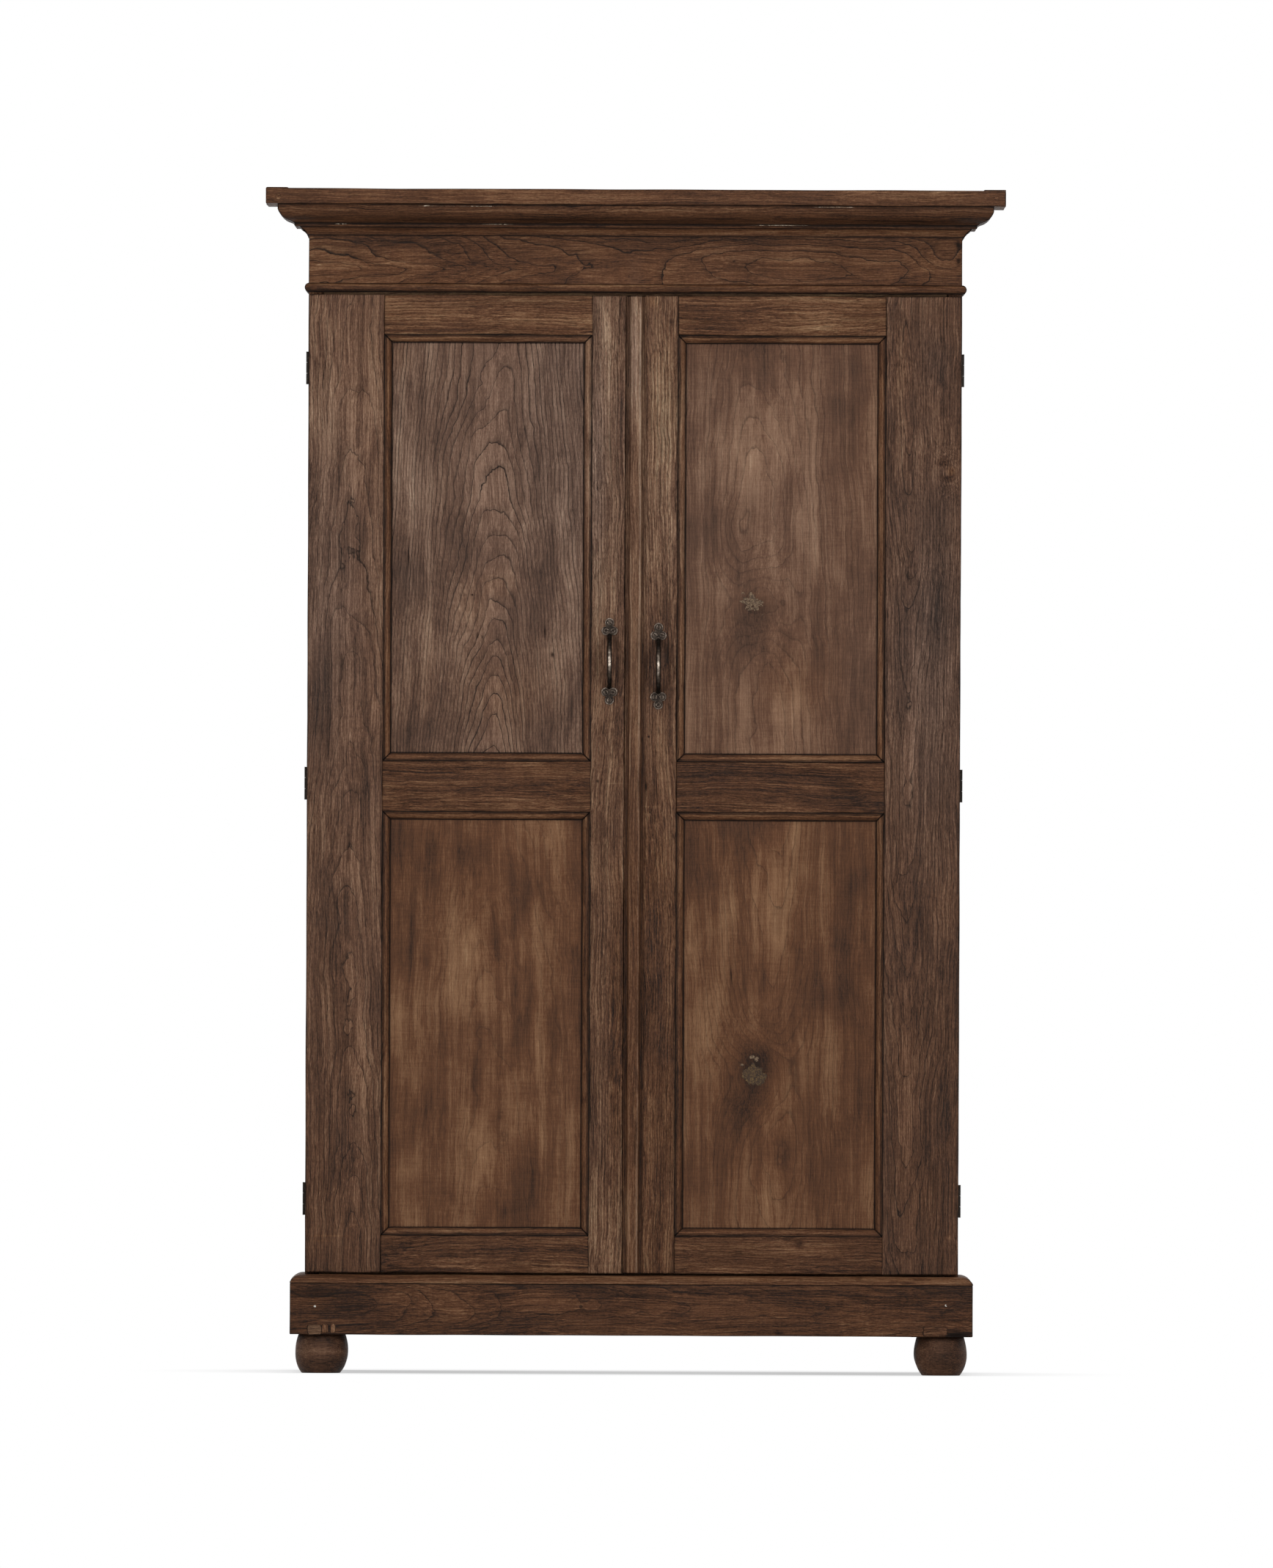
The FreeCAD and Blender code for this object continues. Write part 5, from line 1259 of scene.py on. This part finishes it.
def screw_head(name, side, x, z, face_y, turn):
    """A slotted screw head: a low dome on rings, with a slot pressed in across it. A square grid (u, v) is pressed to
    a disc, to (u sqrt(1 - v^2 / 2), v sqrt(1 - u^2 / 2))."""
    radius, dome, proud, sunk = 3.6 * MM, 0.7 * MM, 0.2 * MM, 0.4 * MM
    slot_half, slot_deep = 0.5 * MM, 0.7 * MM
    lines = np.linspace(-1, 1, 25)
    u, v = np.meshgrid(lines, lines, indexing="ij")
    disc_u = u * np.sqrt(1 - v ** 2 / 2)
    disc_v = v * np.sqrt(1 - u ** 2 / 2)
    away = np.hypot(disc_u, disc_v)
    slot = np.exp(-((disc_v * radius / slot_half) ** 6))
    lift = dome * np.sqrt(np.maximum(1 - 0.85 * away ** 2, 0)) + proud - slot_deep * slot
    lift = np.where(away > 0.985, -sunk, lift)
    across = disc_u * cos(turn) - disc_v * sin(turn)
    upward = disc_u * sin(turn) + disc_v * cos(turn)
    points = np.stack([x + across * radius, face_y - lift, z + upward * radius], axis=-1).reshape(-1, 3)
    index = np.arange(len(points)).reshape(u.shape)
    border = [*index[:, 0], *index[-1, 1:], *index[::-1, -1][1:], *index[0, ::-1][1:-1]]
    faces = quads(index).tolist() + [[int(number) for number in border[::-1]]]
    wear_and_highlight = 0.35 + 0.3 * (away > 0.8) - 0.3 * slot
    forged(name, points, faces, side, f"{SIDE_NAMES[side]}_handle_screws", wear_and_highlight)


def handle(side):
    """A bow pull with its two plates and six screws."""
    name = SIDE_NAMES[side]
    low, high = span(f"{name}_handle")
    x, _, z = (low + high) / 2
    bow(side)
    for up in (-1, 1):
        plate(side, up)
        for number, (aside, away) in enumerate(PLATE_SCREWS):
            turn = radians(37 * number + 70 * side + 25 * up)
            screw_head(f"{name}_plate_screw_{'top' if up > 0 else 'bottom'}_{number}", side, x + aside * MM,
                       z + up * away * MM, high[Y] - SCREW_SEAT, turn)


door(LEFT)
door(RIGHT)
meeting_strip()
cornice()
plinth()
foot_blocks()
feet()
case_side(LEFT)
case_side(RIGHT)
carcass()
mends()
handle(LEFT)
handle(RIGHT)

hardware = {
    BLACK_IRON[0]: ("hinge_case_leaves", "hinge_pins", "hinge_case_screws", "bolt_keepers", "bolt_barrels",
                    "left_door_hinge_leaves", "left_door_hinge_screws", "right_door_hinge_leaves",
                    "right_door_hinge_screws"),
    drawn_steel(): ("top_bolt_rod", "bottom_bolt_rod", "catch_strike"),
    moulded_plastic(): ("magnetic_catch",),
}
for finish, names in hardware.items():
    for node in names:
        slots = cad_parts[node].data.materials
        slots.clear()
        slots.append(finish)


# Stage, camera and lights

def aim(item, eye, target, roll=0.0):
    """Sets an object down at eye, looking along its own -Z at target, turned by roll about that line."""
    way = (Vector(target) - Vector(eye)).to_track_quat("-Z", "Y").to_matrix().to_4x4()
    item.matrix_world = Matrix.Translation(eye) @ way @ Matrix.Rotation(roll, 4, "Z")


def camera():
    """A long lens at the photograph's height and tilt, whose frame at the doors is the photograph's."""
    lens = bpy.data.cameras.new("camera")
    lens.sensor_width = 36.0
    lens.lens = lens.sensor_width * EYE_DISTANCE / (PHOTO_HEIGHT * PIXEL)
    lens.clip_start = 1.0
    lens.clip_end = 2 * EYE_DISTANCE
    item = shown("camera", lens)
    door_y = span("left_lock_rail")[0][Y]
    aim(item, (EYE_ACROSS, door_y - EYE_DISTANCE, EYE_HEIGHT), (EYE_ACROSS, door_y, EYE_HEIGHT), TILT)
    bpy.context.scene.camera = item


def softbox(name, eye, target, width, height, power):
    """A large rectangular lamp."""
    lamp = bpy.data.lights.new(name, "AREA")
    lamp.shape = "RECTANGLE"
    lamp.size = width
    lamp.size_y = height
    lamp.energy = power
    aim(shown(name, lamp), eye, target)


def lights():
    """Two softboxes, one to each side of the camera, and a weak fill from above."""
    middle = (0, -0.2, 0.95)
    for side in (LEFT, RIGHT):
        softbox(f"softbox_{SIDE_NAMES[side]}", (side * 2.3, -4.4, 1.5), middle, width=1.0, height=1.8, power=76)
    softbox("softbox_above", (0, -2.5, 4.2), middle, width=2.5, height=1.5, power=24)


def white_shown(node):
    """A factor that is 1 for rays from the camera, in gloss and through glass, and 0 for light."""
    path = node("LightPath").outputs
    total = node("Math MAXIMUM", path["Is Camera Ray"], path["Is Glossy Ray"])
    return node("Math MAXIMUM", total, path["Is Transmission Ray"])


def sky():
    """A world that looks white and lights weakly."""
    world = bpy.data.worlds.new("studio")
    bpy.context.scene.world = world
    world.use_nodes = True
    node = partial(add, world.node_tree)
    strength = node("MapRange", Value=white_shown(node), To_Min=0.36, To_Max=1.0)
    feed(world.node_tree.nodes["Background"], Color=(1, 1, 1, 1), Strength=strength)


def ground():
    """A pale floor that keeps the shadow."""
    size = 60.0
    corners = [(-size, -size, 0), (size, -size, 0), (size, size, 0), (-size, size, 0)]
    mesh = bpy.data.meshes.new("floor")
    mesh.from_pydata(corners, [], [(0, 1, 2, 3)])
    item, node, shader = material("pale_floor")
    feed(shader, Base_Color=linear("#B8B8B8"), Roughness=0.9)
    near = node("AmbientOcclusion", settings={"samples": 16}, Distance=0.35).outputs["AO"]
    open_sky = node("MapRange", near, 0.0, 0.9, 0.5, 1.0)
    glow = node("Emission", Color=(1, 1, 1, 1), Strength=open_sky)
    mix = node("MixShader", white_shown(node), shader, glow)
    feed(item.node_tree.nodes["Material Output"], Surface=mix)
    mesh.materials.append(item)
    floor = shown("floor", mesh)


camera()
lights()
sky()
ground()
bpy.context.scene.view_settings.view_transform = "Standard"
